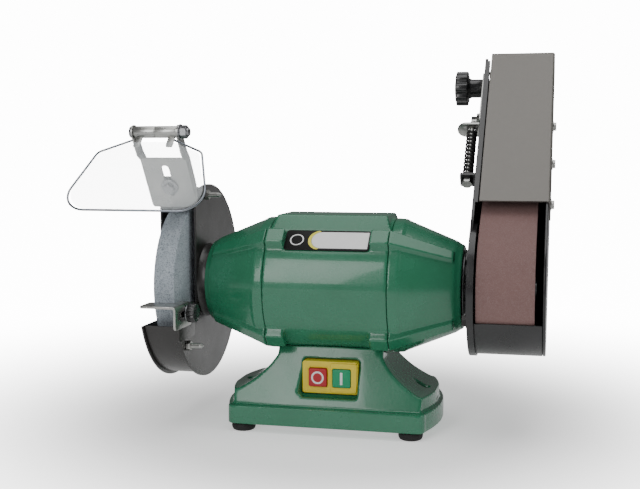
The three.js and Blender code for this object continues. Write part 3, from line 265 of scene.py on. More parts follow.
def rod(r: float, start: Vector, end: Vector, sides: int = 32) -> bpy.types.Object:
    """A round bar, or a hexagonal one with six sides, between two points."""
    start, end = Vector(start), Vector(end)
    bm = bmesh.new()
    turn = (end - start).to_track_quat("Z", "Y").to_matrix().to_4x4()
    matrix = Matrix.Translation((start + end) / 2) @ turn
    bmesh.ops.create_cone(bm, cap_ends=True, segments=sides, radius1=r, radius2=r,
                          depth=(end - start).length, matrix=matrix)
    return new_object(bm)


def hull(corners: list[tuple[float, float, float]]) -> bpy.types.Object:
    """The convex solid round a set of corners."""
    bm = bmesh.new()
    verts = [bm.verts.new(corner) for corner in corners]
    bmesh.ops.convex_hull(bm, input=verts)
    bmesh.ops.dissolve_limit(bm, angle_limit=0.001, verts=bm.verts[:], edges=bm.edges[:])
    return new_object(bm)


def block(x0: float, x1: float, y0: float, y1: float, z0: float, z1: float) -> bpy.types.Object:
    """A box between two values on each axis."""
    return hull([(x, y, z) for x in (x0, x1) for y in (y0, y1) for z in (z0, z1)])


def baked(thing: bpy.types.Object) -> bpy.types.Object:
    """Turns an object's modifiers into plain mesh."""
    graph = bpy.context.evaluated_depsgraph_get()
    mesh = bpy.data.meshes.new_from_object(thing.evaluated_get(graph), depsgraph=graph)
    thing.modifiers.clear()
    thing.data = mesh
    return thing


def discard(thing: bpy.types.Object) -> None:
    """Removes an object that has been used up."""
    bpy.data.objects.remove(thing, do_unlink=True)


def combined(first: bpy.types.Object, *others: bpy.types.Object, how: str = "UNION") -> bpy.types.Object:
    """Joins, cuts or intersects solids, one after another.

    Args:
        first: the solid that changes.
        *others: the solids that it meets.
        how: UNION, DIFFERENCE or INTERSECT.

    Returns:
        The changed solid.
    """
    for other in others:
        tool = first.modifiers.new("boolean", "BOOLEAN")
        tool.operation = how
        tool.solver = "EXACT"
        tool.object = other
        baked(first)
        discard(other)
    return first


def cut(first: bpy.types.Object, *others: bpy.types.Object) -> bpy.types.Object:
    """Cuts the others out of the first solid."""
    return combined(first, *others, how="DIFFERENCE")


def grouped(first: bpy.types.Object, *others: bpy.types.Object) -> bpy.types.Object:
    """Puts several closed meshes into one object, uncut."""
    bm = bmesh.new()
    for thing in (first, *others):
        bm.from_mesh(thing.data)
    bm.to_mesh(first.data)
    bm.free()
    for other in others:
        discard(other)
    return first


def bevelled(thing: bpy.types.Object, width: float, segments: int = 2, angle: float = 35) -> bpy.types.Object:
    """Rounds the sharp edges of a solid."""
    tool = thing.modifiers.new("bevel", "BEVEL")
    tool.width = width
    tool.segments = segments
    tool.limit_method = "ANGLE"
    tool.angle_limit = math.radians(angle)
    tool.harden_normals = False
    return baked(thing)


def cast(thing: bpy.types.Object, voxel: float, softness: int) -> bpy.types.Object:
    """Gives a solid the soft edges of a casting.

    Args:
        thing: closed meshes, which may overlap.
        voxel: grid size of the new skin.
        softness: smoothing steps.

    Returns:
        The same object with one skin.
    """
    skin = thing.modifiers.new("skin", "REMESH")
    skin.mode = "VOXEL"
    skin.voxel_size = voxel
    smooth = thing.modifiers.new("smooth", "SMOOTH")
    smooth.factor = 0.5
    smooth.iterations = softness
    return baked(thing)


# ------------------------------------------------------------------ finishes
class Pattern(Enum):
    """How a finish varies over a surface."""

    CLOUDED = "clouded"
    BRUSHED = "brushed"
    SPANGLE = "spangle"
    GRIT = "grit"


@dataclass(frozen=True)
class Finish:
    """A surface: its colours, gloss and fine relief, on object coordinates."""

    name: str
    colour: Colour
    second: Colour
    roughness: tuple[float, float]
    metallic: float = 0.0
    pattern: Pattern = Pattern.CLOUDED
    patch: float = 45.0
    grain: float = 1500.0
    relief: float = 0.0001
    coat: float = 0.0
    speck: Colour | None = None
    alpha: float = 1.0
    glow: float = 0.0
    stretch: Colour = (1.0, 1.0, 1.0)

    def material(self) -> bpy.types.Material:
        """Builds the material once and returns it.

        Returns:
            The node material.
        """
        known = bpy.data.materials.get(self.name)
        if known:
            return known
        material = bpy.data.materials.new(self.name)
        material.use_nodes = True
        tree = material.node_tree
        shader = next(n for n in tree.nodes if n.type == "BSDF_PRINCIPLED")
        shader.inputs["Metallic"].default_value = self.metallic
        shader.inputs["Coat Weight"].default_value = self.coat
        shader.inputs["Coat Roughness"].default_value = 0.06
        shader.inputs["Alpha"].default_value = self.alpha
        shader.inputs["Emission Strength"].default_value = self.glow
        if self.glow:
            shader.inputs["Emission Color"].default_value = (1, 1, 1, 1)
        place = tree.nodes.new("ShaderNodeTexCoord")
        mapping = tree.nodes.new("ShaderNodeMapping")
        mapping.inputs["Scale"].default_value = self.stretch
        tree.links.new(place.outputs["Object"], mapping.inputs["Vector"])
        patches = self._noise(tree, mapping, self.patch, 5.0)
        fine = self._fine(tree, mapping)
        tint = self._mix(tree, patches, self.colour, self.second)
        if self.speck:
            tint = self._specks(tree, mapping, tint)
        tree.links.new(tint, shader.inputs["Base Color"])
        gloss = tree.nodes.new("ShaderNodeMapRange")
        gloss.inputs["From Min"].default_value = 0.3
        gloss.inputs["From Max"].default_value = 0.7
        gloss.inputs["To Min"].default_value = self.roughness[0]
        gloss.inputs["To Max"].default_value = self.roughness[1]
        source = fine if self.pattern is Pattern.BRUSHED else patches
        tree.links.new(source, gloss.inputs["Value"])
        tree.links.new(gloss.outputs["Result"], shader.inputs["Roughness"])
        bump = tree.nodes.new("ShaderNodeBump")
        bump.inputs["Strength"].default_value = 1.0
        bump.inputs["Distance"].default_value = self.relief
        tree.links.new(fine, bump.inputs["Height"])
        tree.links.new(bump.outputs["Normal"], shader.inputs["Normal"])
        return material

    def _noise(self, tree: bpy.types.NodeTree, mapping: bpy.types.Node, scale: float,
               detail: float) -> bpy.types.NodeSocket:
        """A noise texture's value."""
        noise = tree.nodes.new("ShaderNodeTexNoise")
        noise.inputs["Scale"].default_value = scale
        noise.inputs["Detail"].default_value = detail
        tree.links.new(mapping.outputs["Vector"], noise.inputs["Vector"])
        return noise.outputs["Fac"]

    def _fine(self, tree: bpy.types.NodeTree, mapping: bpy.types.Node) -> bpy.types.NodeSocket:
        """The fine relief: noise, streaks, crystals or grit."""
        if self.pattern in (Pattern.SPANGLE, Pattern.GRIT):
            cells = tree.nodes.new("ShaderNodeTexVoronoi")
            cells.inputs["Scale"].default_value = self.grain
            tree.links.new(mapping.outputs["Vector"], cells.inputs["Vector"])
            return cells.outputs["Distance"]
        streaks = mapping
        if self.pattern is Pattern.BRUSHED:
            streaks = tree.nodes.new("ShaderNodeMapping")
            streaks.inputs["Scale"].default_value = (1.0, 1.0, 0.02)
            tree.links.new(mapping.outputs["Vector"], streaks.inputs["Vector"])
        return self._noise(tree, streaks, self.grain, 3.0)

    def _mix(self, tree: bpy.types.NodeTree, factor: bpy.types.NodeSocket, a: Colour,
             b: Colour) -> bpy.types.NodeSocket:
        """A ramp from one colour to another."""
        ramp = tree.nodes.new("ShaderNodeValToRGB")
        ramp.color_ramp.elements[0].position = 0.3
        ramp.color_ramp.elements[0].color = (*a, 1)
        ramp.color_ramp.elements[1].position = 0.7
        ramp.color_ramp.elements[1].color = (*b, 1)
        tree.links.new(factor, ramp.inputs["Fac"])
        return ramp.outputs["Color"]

    def _specks(self, tree: bpy.types.NodeTree, mapping: bpy.types.Node,
                tint: bpy.types.NodeSocket) -> bpy.types.NodeSocket:
        """Scatters grains of a third colour over the tint."""
        cells = tree.nodes.new("ShaderNodeTexVoronoi")
        cells.inputs["Scale"].default_value = self.grain * 0.8
        tree.links.new(mapping.outputs["Vector"], cells.inputs["Vector"])
        split = tree.nodes.new("ShaderNodeSeparateColor")
        tree.links.new(cells.outputs["Color"], split.inputs["Color"])
        ramp = tree.nodes.new("ShaderNodeValToRGB")
        ramp.color_ramp.elements[0].position = 0.55
        ramp.color_ramp.elements[1].position = 0.95
        tree.links.new(split.outputs["Red"], ramp.inputs["Fac"])
        mix = tree.nodes.new("ShaderNodeMix")
        mix.data_type = "RGBA"
        tree.links.new(ramp.outputs["Color"], mix.inputs["Factor"])
        tree.links.new(tint, mix.inputs["A"])
        mix.inputs["B"].default_value = (*self.speck, 1)
        return mix.outputs["Result"]


ENAMEL = Finish("green_enamel_gloss", (0.018, 0.165, 0.082), (0.023, 0.185, 0.096), (0.22, 0.3), coat=0.45,
                grain=420, relief=0.00006)
BLACK_PAINT = Finish("black_paint_satin", (0.008, 0.008, 0.009), (0.013, 0.013, 0.014), (0.24, 0.34),
                     grain=1800, relief=0.00008, coat=0.25)
GUARD_PAINT = Finish("guard_paint_satin", (0.014, 0.013, 0.012), (0.021, 0.019, 0.018), (0.26, 0.36),
                     grain=1500, relief=0.00008, coat=0.2)
SATIN_GREY = Finish("cover_satin_grey", (0.15, 0.142, 0.13), (0.175, 0.166, 0.152), (0.36, 0.46), metallic=0.45,
                    grain=2400, relief=0.00004, stretch=(1.0, 1.0, 1.0))
ZINC = Finish("zinc_plate_bright", (0.38, 0.385, 0.375), (0.5, 0.5, 0.475), (0.24, 0.36), metallic=0.95,
              pattern=Pattern.SPANGLE, grain=260, relief=0.00002, patch=70)
WIRE = Finish("bright_wire_steel", (0.2, 0.22, 0.25), (0.28, 0.3, 0.33), (0.16, 0.24), metallic=1.0)
STEEL = Finish("machined_steel", (0.26, 0.27, 0.28), (0.36, 0.36, 0.37), (0.22, 0.34), metallic=1.0,
               pattern=Pattern.BRUSHED, grain=1800, relief=0.00003)
SPRING_BLACK = Finish("blackened_spring", (0.02, 0.02, 0.021), (0.04, 0.038, 0.036), (0.32, 0.45), metallic=0.5)
GLOSS_BLACK = Finish("gloss_black_plastic", (0.012, 0.012, 0.013), (0.018, 0.018, 0.019), (0.18, 0.28),
                     grain=900, relief=0.00003, coat=0.3)
RUBBER = Finish("foot_rubber", (0.012, 0.013, 0.016), (0.022, 0.023, 0.027), (0.6, 0.75), grain=1300, relief=0.0001)
STONE = Finish("grey_bonded_grit", (0.44, 0.5, 0.55), (0.54, 0.6, 0.65), (0.85, 0.95), pattern=Pattern.GRIT,
               grain=1700, relief=0.0003, speck=(0.25, 0.29, 0.34), patch=90)
GRIT = Finish("brown_coated_grit", (0.2, 0.112, 0.104), (0.23, 0.132, 0.122), (0.7, 0.85), pattern=Pattern.GRIT,
              grain=3000, relief=0.0001, speck=(0.27, 0.175, 0.165), patch=30)
YELLOW = Finish("switch_yellow", (0.92, 0.6, 0.015), (0.96, 0.65, 0.025), (0.3, 0.4), grain=700, relief=0.00004)
RED = Finish("stop_red", (0.42, 0.012, 0.02), (0.5, 0.018, 0.028), (0.3, 0.4), grain=700, relief=0.00003)
GO_GREEN = Finish("start_green", (0.0, 0.26, 0.11), (0.005, 0.31, 0.14), (0.3, 0.4), grain=700, relief=0.00003)
WHITE_MARK = Finish("white_mark", (0.8, 0.8, 0.79), (0.86, 0.86, 0.85), (0.35, 0.45))
PLATE_BLACK = Finish("plate_black", (0.012, 0.012, 0.013), (0.02, 0.02, 0.02), (0.25, 0.35), coat=0.4)
PLATE_SILVER = Finish("plate_silver", (0.6, 0.6, 0.6), (0.72, 0.72, 0.71), (0.3, 0.42), metallic=0.4)
PLATE_YELLOW = Finish("plate_yellow", (0.8, 0.72, 0.03), (0.86, 0.78, 0.05), (0.3, 0.4))
LENS = Finish("clear_lens", (0.75, 0.8, 0.8), (0.8, 0.85, 0.85), (0.02, 0.04), alpha=0.02, relief=0.000002)
CORE = Finish("core_laminations", (0.09, 0.09, 0.095), (0.16, 0.155, 0.15), (0.45, 0.6), metallic=0.8,
              pattern=Pattern.BRUSHED, grain=900)
COPPER = Finish("lacquered_copper", (0.42, 0.14, 0.045), (0.55, 0.2, 0.07), (0.25, 0.4), metallic=0.9,
                pattern=Pattern.BRUSHED, grain=700, relief=0.0002)
PALE = Finish("pale_plastic", (0.55, 0.55, 0.53), (0.62, 0.62, 0.6), (0.4, 0.55))
SHEET = Finish("galvanised_sheet", (0.45, 0.46, 0.46), (0.58, 0.58, 0.57), (0.3, 0.45), metallic=0.9,
               pattern=Pattern.SPANGLE, grain=150, relief=0.00002)


def publish(thing: bpy.types.Object, name: str, body: str, finish: Finish,
            stands_for: tuple[str, ...] = (), local: Matrix | None = None, smooth: float = 32) -> None:
    """Finishes a piece and hangs it on the frame.

    Args:
        thing: the piece, in its local millimetre frame.
        name: the piece's name.
        body: the frame's body that it moves with.
        finish: its surface.
        stands_for: nodes of the frame that it replaces.
        local: where its local frame stands from the spindle's axis.
        smooth: edges sharper than this many degrees stay crisp.
    """
    mesh = thing.data
    mesh.transform(DATUM.to_frame(local))
    mesh.validate()
    mesh.shade_smooth()
    mesh.set_sharp_from_angle(angle=math.radians(smooth))
    mesh.materials.clear()
    mesh.materials.append(finish.material())
    thing.name = name
    mesh.name = name
    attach(thing, body)
    if stands_for:
        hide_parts(*stands_for)
    mesh.calc_loop_triangles()
    LOG.info("%s: %d triangles on %s", name, len(mesh.loop_triangles), body)


# ------------------------------------------------------------------ node recipes
@dataclass
class Recipe:
    """A Geometry Nodes tree with named inputs, run once on a seed mesh."""

    name: str
    inputs: dict[str, float]
    finish: Finish
    tree: bpy.types.NodeTree = field(init=False)
    ports: dict[str, str] = field(init=False, default_factory=dict)

    def __post_init__(self) -> None:
        """Makes the tree, its geometry sockets and its named inputs."""
        self.tree = bpy.data.node_groups.new(self.name, "GeometryNodeTree")
        face = self.tree.interface
        face.new_socket("Geometry", in_out="INPUT", socket_type="NodeSocketGeometry")
        face.new_socket("Geometry", in_out="OUTPUT", socket_type="NodeSocketGeometry")
        for label, value in self.inputs.items():
            socket = face.new_socket(label, in_out="INPUT", socket_type="NodeSocketFloat")
            socket.default_value = value
            self.ports[label] = socket.identifier
        self.entry = self.tree.nodes.new("NodeGroupInput")
        self.exit = self.tree.nodes.new("NodeGroupOutput")

    def add(self, kind: str, settings: dict | None = None, **wires: object) -> bpy.types.Node:
        """Adds a node.

        Args:
            kind: the node's type.
            settings: values of its own properties.
            **wires: for each input, with _ for a space, a value or a socket.

        Returns:
            The node.
        """
        node = self.tree.nodes.new(kind)
        for key, value in (settings or {}).items():
            setattr(node, key, value)
        for label, value in wires.items():
            socket = node.inputs[label.replace("_", " ")]
            if isinstance(value, bpy.types.NodeSocket):
                self.tree.links.new(value, socket)
            else:
                socket.default_value = value
        return node

    def value(self, label: str) -> bpy.types.NodeSocket:
        """The socket of a named input."""
        return self.entry.outputs[label]

    def run(self, geometry: bpy.types.NodeSocket, seed: bpy.types.Object) -> bpy.types.Object:
        """Ends the tree and bakes it on the seed object.

        Args:
            geometry: the last geometry socket.
            seed: the object that carries the tree.

        Returns:
            The seed object, holding the result as plain mesh.
        """
        solid = self.add("GeometryNodeRealizeInstances", Geometry=geometry)
        painted = self.add("GeometryNodeSetMaterial", Geometry=solid.outputs[0])
        painted.inputs["Material"].default_value = self.finish.material()
        self.tree.links.new(painted.outputs[0], self.exit.inputs[0])
        tool = seed.modifiers.new(self.name, "NODES")
        tool.node_group = self.tree
        for label, identifier in self.ports.items():
            tool[identifier] = self.inputs[label]
        return baked(seed)


def seed_points(points: list[tuple[float, float, float]]) -> bpy.types.Object:
    """An object of loose points for a recipe to work on."""
    mesh = bpy.data.meshes.new("seed")
    mesh.from_pydata([tuple(p) for p in points], [], [])
    thing = bpy.data.objects.new("seed", mesh)
    bpy.context.scene.collection.objects.link(thing)
    return thing


def seed_path(points: list[tuple[float, float, float]]) -> bpy.types.Object:
    """An object holding a polyline for a recipe to follow."""
    mesh = bpy.data.meshes.new("seed")
    mesh.from_pydata([tuple(p) for p in points], [(i, i + 1) for i in range(len(points) - 1)], [])
    thing = bpy.data.objects.new("seed", mesh)
    bpy.context.scene.collection.objects.link(thing)
    return thing


def screws(name: str, points: list[tuple[float, float, float]], turn: tuple[float, float, float],
           finish: Finish, head: float, height: float, sides: int = 6, washer: float = 0.0) -> bpy.types.Object:
    """Screw heads on washers at each point.

    Args:
        name: the recipe's name.
        points: where each screw's seat is.
        turn: the turn, in radians, that takes +z to the screw's outward axis.
        finish: their surface.
        head: radius of a head.
        height: height of a head.
        sides: sides of a head.
        washer: radius of the washer, or 0 for none.

    Returns:
        All the screws as one object.
    """
    recipe = Recipe(name, {"Head Radius": head, "Head Height": height, "Washer Radius": washer or head * 0.7,
                           "Sides": float(sides)}, finish)
    count = recipe.add("FunctionNodeFloatToInt", Float=recipe.value("Sides"))
    cap = recipe.add("GeometryNodeMeshCylinder", Vertices=count.outputs[0], Radius=recipe.value("Head Radius"),
                     Depth=recipe.value("Head Height"))
    lift = recipe.add("ShaderNodeCombineXYZ", Z=recipe.add("ShaderNodeMath", {"operation": "MULTIPLY"},
                      Value=recipe.value("Head Height")).outputs[0])
    lift_math = lift.inputs["Z"].links[0].from_node
    lift_math.inputs[1].default_value = 0.5
    raised = recipe.add("GeometryNodeTransform", Geometry=cap.outputs["Mesh"], Translation=lift.outputs[0])
    ring = recipe.add("GeometryNodeMeshCylinder", Vertices=28, Radius=recipe.value("Washer Radius"), Depth=1.2)
    both = recipe.add("GeometryNodeJoinGeometry")
    recipe.tree.links.new(ring.outputs["Mesh"], both.inputs[0])
    recipe.tree.links.new(raised.outputs[0], both.inputs[0])
    dots = recipe.add("GeometryNodeMeshToPoints", Mesh=recipe.value("Geometry"))
    spread = recipe.add("GeometryNodeInstanceOnPoints", Points=dots.outputs[0], Instance=both.outputs[0])
    spread.inputs["Rotation"].default_value = turn
    made = recipe.run(spread.outputs[0], seed_points(points))
    return bevelled(made, 0.35)


def coil(name: str, finish: Finish, turns: float, radius: float, length: float, wire: float) -> bpy.types.Object:
    """A helical spring standing on the origin along +z."""
    recipe = Recipe(name, {"Turns": turns, "Radius": radius, "Length": length, "Wire Radius": wire}, finish)
    spiral = recipe.add("GeometryNodeCurveSpiral", Resolution=26, Rotations=recipe.value("Turns"),
                        Start_Radius=recipe.value("Radius"), End_Radius=recipe.value("Radius"),
                        Height=recipe.value("Length"))
    circle = recipe.add("GeometryNodeCurvePrimitiveCircle", Resolution=10, Radius=recipe.value("Wire Radius"))
    skin = recipe.add("GeometryNodeCurveToMesh", Curve=spiral.outputs[0], Profile_Curve=circle.outputs[0],
                      Fill_Caps=True)
    return recipe.run(skin.outputs[0], seed_points([(0, 0, 0)]))


def wire_along(name: str, finish: Finish, points: list, wire: float) -> bpy.types.Object:
    """A round wire that follows a run of points."""
    recipe = Recipe(name, {"Wire Radius": wire}, finish)
    curve = recipe.add("GeometryNodeMeshToCurve", Mesh=recipe.value("Geometry"))
    circle = recipe.add("GeometryNodeCurvePrimitiveCircle", Resolution=12, Radius=recipe.value("Wire Radius"))
    skin = recipe.add("GeometryNodeCurveToMesh", Curve=curve.outputs[0], Profile_Curve=circle.outputs[0],
                      Fill_Caps=True)
    return recipe.run(skin.outputs[0], seed_path(points))


def moved(thing: bpy.types.Object, matrix: Matrix) -> bpy.types.Object:
    """Moves a mesh's own points."""
    thing.data.transform(matrix)
    return thing


def threaded(r: float, low: float, high: float, pitch: float = 0.9, point: float = 0.4) -> bpy.types.Object:
    """A bar along x cut like a screw thread, with a pointed high end."""
    root = r - 0.3
    profile = [(0.0, low), (root, low)]
    x = low + 0.3
    while x + pitch < high - point:
        profile += [(root, x), (r, x + pitch / 2)]
        x += pitch
    profile += [(root, x), (root, high - point), (max(root - point, 0.4), high), (0.0, high)]
    return turned(list(dict.fromkeys(profile)), 20)


def lobed(y: float, z: float, r: float, depth: float, count: int, power: float = 3.0) -> Outline:
    """The outline of a knob with flutes round its rim."""
    points = []
    for i in range(count * 14):
        t = 2 * math.pi * i / (count * 14)
        reach = r - depth * (0.5 - 0.5 * math.cos(count * t)) ** power
        points.append((y + reach * math.cos(t), z + reach * math.sin(t)))
    return points


def hexagon(r: float, low: float, high: float, y: float = 0.0, z: float = 0.0) -> bpy.types.Object:
    """A hexagonal head or nut along x, with its corners turned off."""
    bar = rod(r, (low, y, z), (high, y, z), 6)
    edge = (high - low) / 2
    barrel = turned([(0, low), (r * 0.9, low), (r * 1.01, low + edge * 0.35), (r * 1.01, high - edge * 0.35),
                     (r * 0.9, high), (0, high)], 48)
    return combined(bar, moved(barrel, Matrix.Translation((0, y, z))), how="INTERSECT")


X_TO_Y = Matrix.Rotation(math.pi / 2, 4, "Z")
X_TO_Z = Matrix.Rotation(-math.pi / 2, 4, "Y")


# ------------------------------------------------------------------ sub-assemblies
@dataclass
class Pedestal:
    """The cast base: plinth, leaning column, slotted pads, feet and cable gland."""

    floor: float = -130.5
    foot_height: float = 6.8
    plinth_top: float = -106.5
    pad_top: float = -94.0
    neck: float = -63.0
    half_length: float = 90.5
    half_depth: float = 61.0
    lean: float = 0.46

    def half_depth_at(self, z: float) -> float:
        """Half depth of the column at a height."""
        return self.half_depth - 6 - (z - self.plinth_top) * self.lean

    def plinth_outline(self, inset: float = 0.0) -> Outline:
        """The plinth from above: straight sides, bowed ends.

        Args:
            inset: how far inside the casting's edge.

        Returns:
            The outline.
        """
        end, side, corner, bow = self.half_length - inset, self.half_depth - inset, 9.0, 18.0
        right = bezier((end - corner, -side), (end, -side), (end, corner - side), 6)
        right += bezier((end, corner - side), (end + bow, 0), (end, side - corner), 18)
        right += bezier((end, side - corner), (end, side), (end - corner, side), 6)
        left = [(-x, -y) for x, y in right]
        return list(dict.fromkeys(right + left))

    def column(self) -> bpy.types.Object:
        """The column: concave flanks seen from the front, leaning faces seen from the side."""
        foot, inner = self.half_length + 4.5, self.half_length - 6.5
        flank = bezier((inner, self.pad_top), (60, self.pad_top + 12), (49, self.neck), 18)
        right = [(foot, self.plinth_top - 3), (foot, self.pad_top), *flank, (49, -2)]
        left = [(-x, z) for x, z in reversed(right)]
        front = prism(right + left, -self.half_depth, self.half_depth, "Y")
        corners = []
        for z, crown in ((self.plinth_top - 3, 0.4), (self.neck, 4.0), (-31, 4.6)):
            for x in range(-98, 99, 14):
                y = self.half_depth_at(z) - crown * (x / 49) ** 2
                corners += [(x, -y, z), (x, y, z)]
        plan = prism(self.plinth_outline(4), self.plinth_top - 5, 0, "Z")
        return combined(front, hull(corners), plan, how="INTERSECT")

    def hollow(self) -> bpy.types.Object:
        """The space inside the casting, open at the bottom."""
        rim = self.floor + 11.8
        mouth = block(-64, 64, -48, 48, self.floor, rim)
        front = [(-64, rim - 1), (64, rim - 1), (44, -71), (-44, -71)]
        low, high = self.half_depth_at(rim) - 7, self.half_depth_at(-71) - 7
        side = [(-min(low, 48), rim - 1), (min(low, 48), rim - 1), (high, -71), (-high, -71)]
        chamber = combined(prism(front, -48, 48, "Y"), prism(side, -64, 64), how="INTERSECT")
        return combined(mouth, chamber)

    def casting(self) -> None:
        """Builds the casting in one skin."""
        bottom = self.floor + self.foot_height
        plinth = prism(self.plinth_outline(), bottom, self.plinth_top, "Z")
        body = combined(plinth, self.column(), rod(13, (25, 38, -88), (25, 55.2, -88), 48))
        body = cut(body, rod(62.3, (-119, 0, 0), (119, 0, 0), 144), block(-23.4, 28.2, -70, -23.7, -95.6, -65.5),
                   hull([(-31, -62, -95.6), (-23, -62, -95.6), (-23, -36, -95.6),
                         (-28, -62, -66), (-23, -62, -66), (-23, -38, -66)]),
                   block(-23.4, 28.2, -70, -42, -98.5, -90),
                   rod(8.3, (25, 0, -88), (25, 120, -88), 40), self.hollow())
        body = cut(body, *[prism(oval(x, 0, 16.5, 8), -126, -60, "Z") for x in (-80, 80)])
        publish(cast(body, 1.15, 5), "pedestal_casting", "frame", ENAMEL, ("base_pedestal",))

    def feet(self) -> None:
        """Builds the four rubber feet."""
        profile = [(0, 0), (8.6, 0), (9.8, 0.6), (10.6, 2.0), (11, 3.9), (10.8, 5.6), (10.1, 6.5), (0, 6.5)]
        for name, x, y in (("foot_front_left", -77, -50), ("foot_front_right", 77, -50),
                           ("foot_rear_left", -77, 50), ("foot_rear_right", 77, 50)):
            foot = moved(turned(profile, 56), Matrix.Translation((x, y, self.floor)) @ X_TO_Z)
            publish(foot, name + "_rubber", "frame", RUBBER, (name,), smooth=45)

    def gland(self) -> None:
        """Builds the cable gland at the back."""
        profile = [(3.6, 43.2), (8, 43.2), (8, 55.5), (10.2, 55.5), (11, 56.2), (11, 58.4), (10.4, 59.2),
                   (7.6, 59.2), (7.2, 60.8), (6.9, 64.2), (6.2, 65.1), (3.6, 65.1)]
        gland = moved(turned(profile, 48), Matrix.Translation((25, 0, -88)) @ X_TO_Y)
        publish(gland, "cable_gland_moulding", "frame", GLOSS_BLACK, ("cable_gland",))

    def build(self) -> None:
        """Builds the whole base."""
        self.casting()
        self.feet()
        self.gland()


@dataclass
class Switch:
    """The two-button switch: yellow housing, stop and start keys with their marks."""

    centre: float = 2.4
    face: float = -44.0
    low: float = -95.3
    high: float = -65.8
    half: float = 25.5
    key: float = 16.5
    spacing: float = 10.95

    def housing(self) -> None:
        """Builds the housing, with a raised frame round the right-hand key."""
        c = self.centre
        body = prism(rectangle(c - self.half, c + self.half, self.low, self.high, 2.2), self.face, self.face + 20, "Y")
        z = (self.low + self.high) / 2
        frame_out = rectangle(c + 0.6, c + self.half - 0.8, self.low + 1.4, self.high - 1.4, 2.5)
        body = combined(body, prism(frame_out, self.face - 1.4, self.face + 1, "Y"))
        well = self.key / 2 + 0.35
        wells = [prism(rectangle(x - well, x + well, z - well, z + well, 1.6), self.face - 3, self.face + 15, "Y")
                 for x in (c - self.spacing, c + self.spacing)]
        publish(bevelled(cut(body, *wells), 0.5, 3), "switch_case", "frame", YELLOW,
                ("switch_housing",))

    def keys(self) -> None:
        """Builds both keys and the ring and bar on them."""
        z = (self.low + self.high) / 2
        half = self.key / 2
        for name, side, body, slot_name, finish in (("button_stop", -1, "stop_button", "stop_red", RED),
                                                    ("button_start", 1, "start_button", "start_green", GO_GREEN)):
            x = self.centre + side * self.spacing
            key = prism(rectangle(x - half, x + half, z - half, z + half, 1.5), self.face - 2.5, self.face + 10.5, "Y")
            publish(bevelled(key, 0.9, 3), name + "_key", body, finish, (name,))
            top = self.face - 2.62
            if side < 0:
                mark = prism(arc(x, z, 5.8, 0, 360 - 7.5, 47), top, top + 0.5, "Y", (arc(x, z, 4.2, 0, 360 - 7.5, 47),))
            else:
                mark = prism(rectangle(x - 1.1, x + 1.1, z - 5.6, z + 5.6, 0.3), top, top + 0.5, "Y")
            publish(mark, name + "_mark", body, WHITE_MARK)

    def build(self) -> None:
        """Builds the switch."""
        self.housing()
        self.keys()


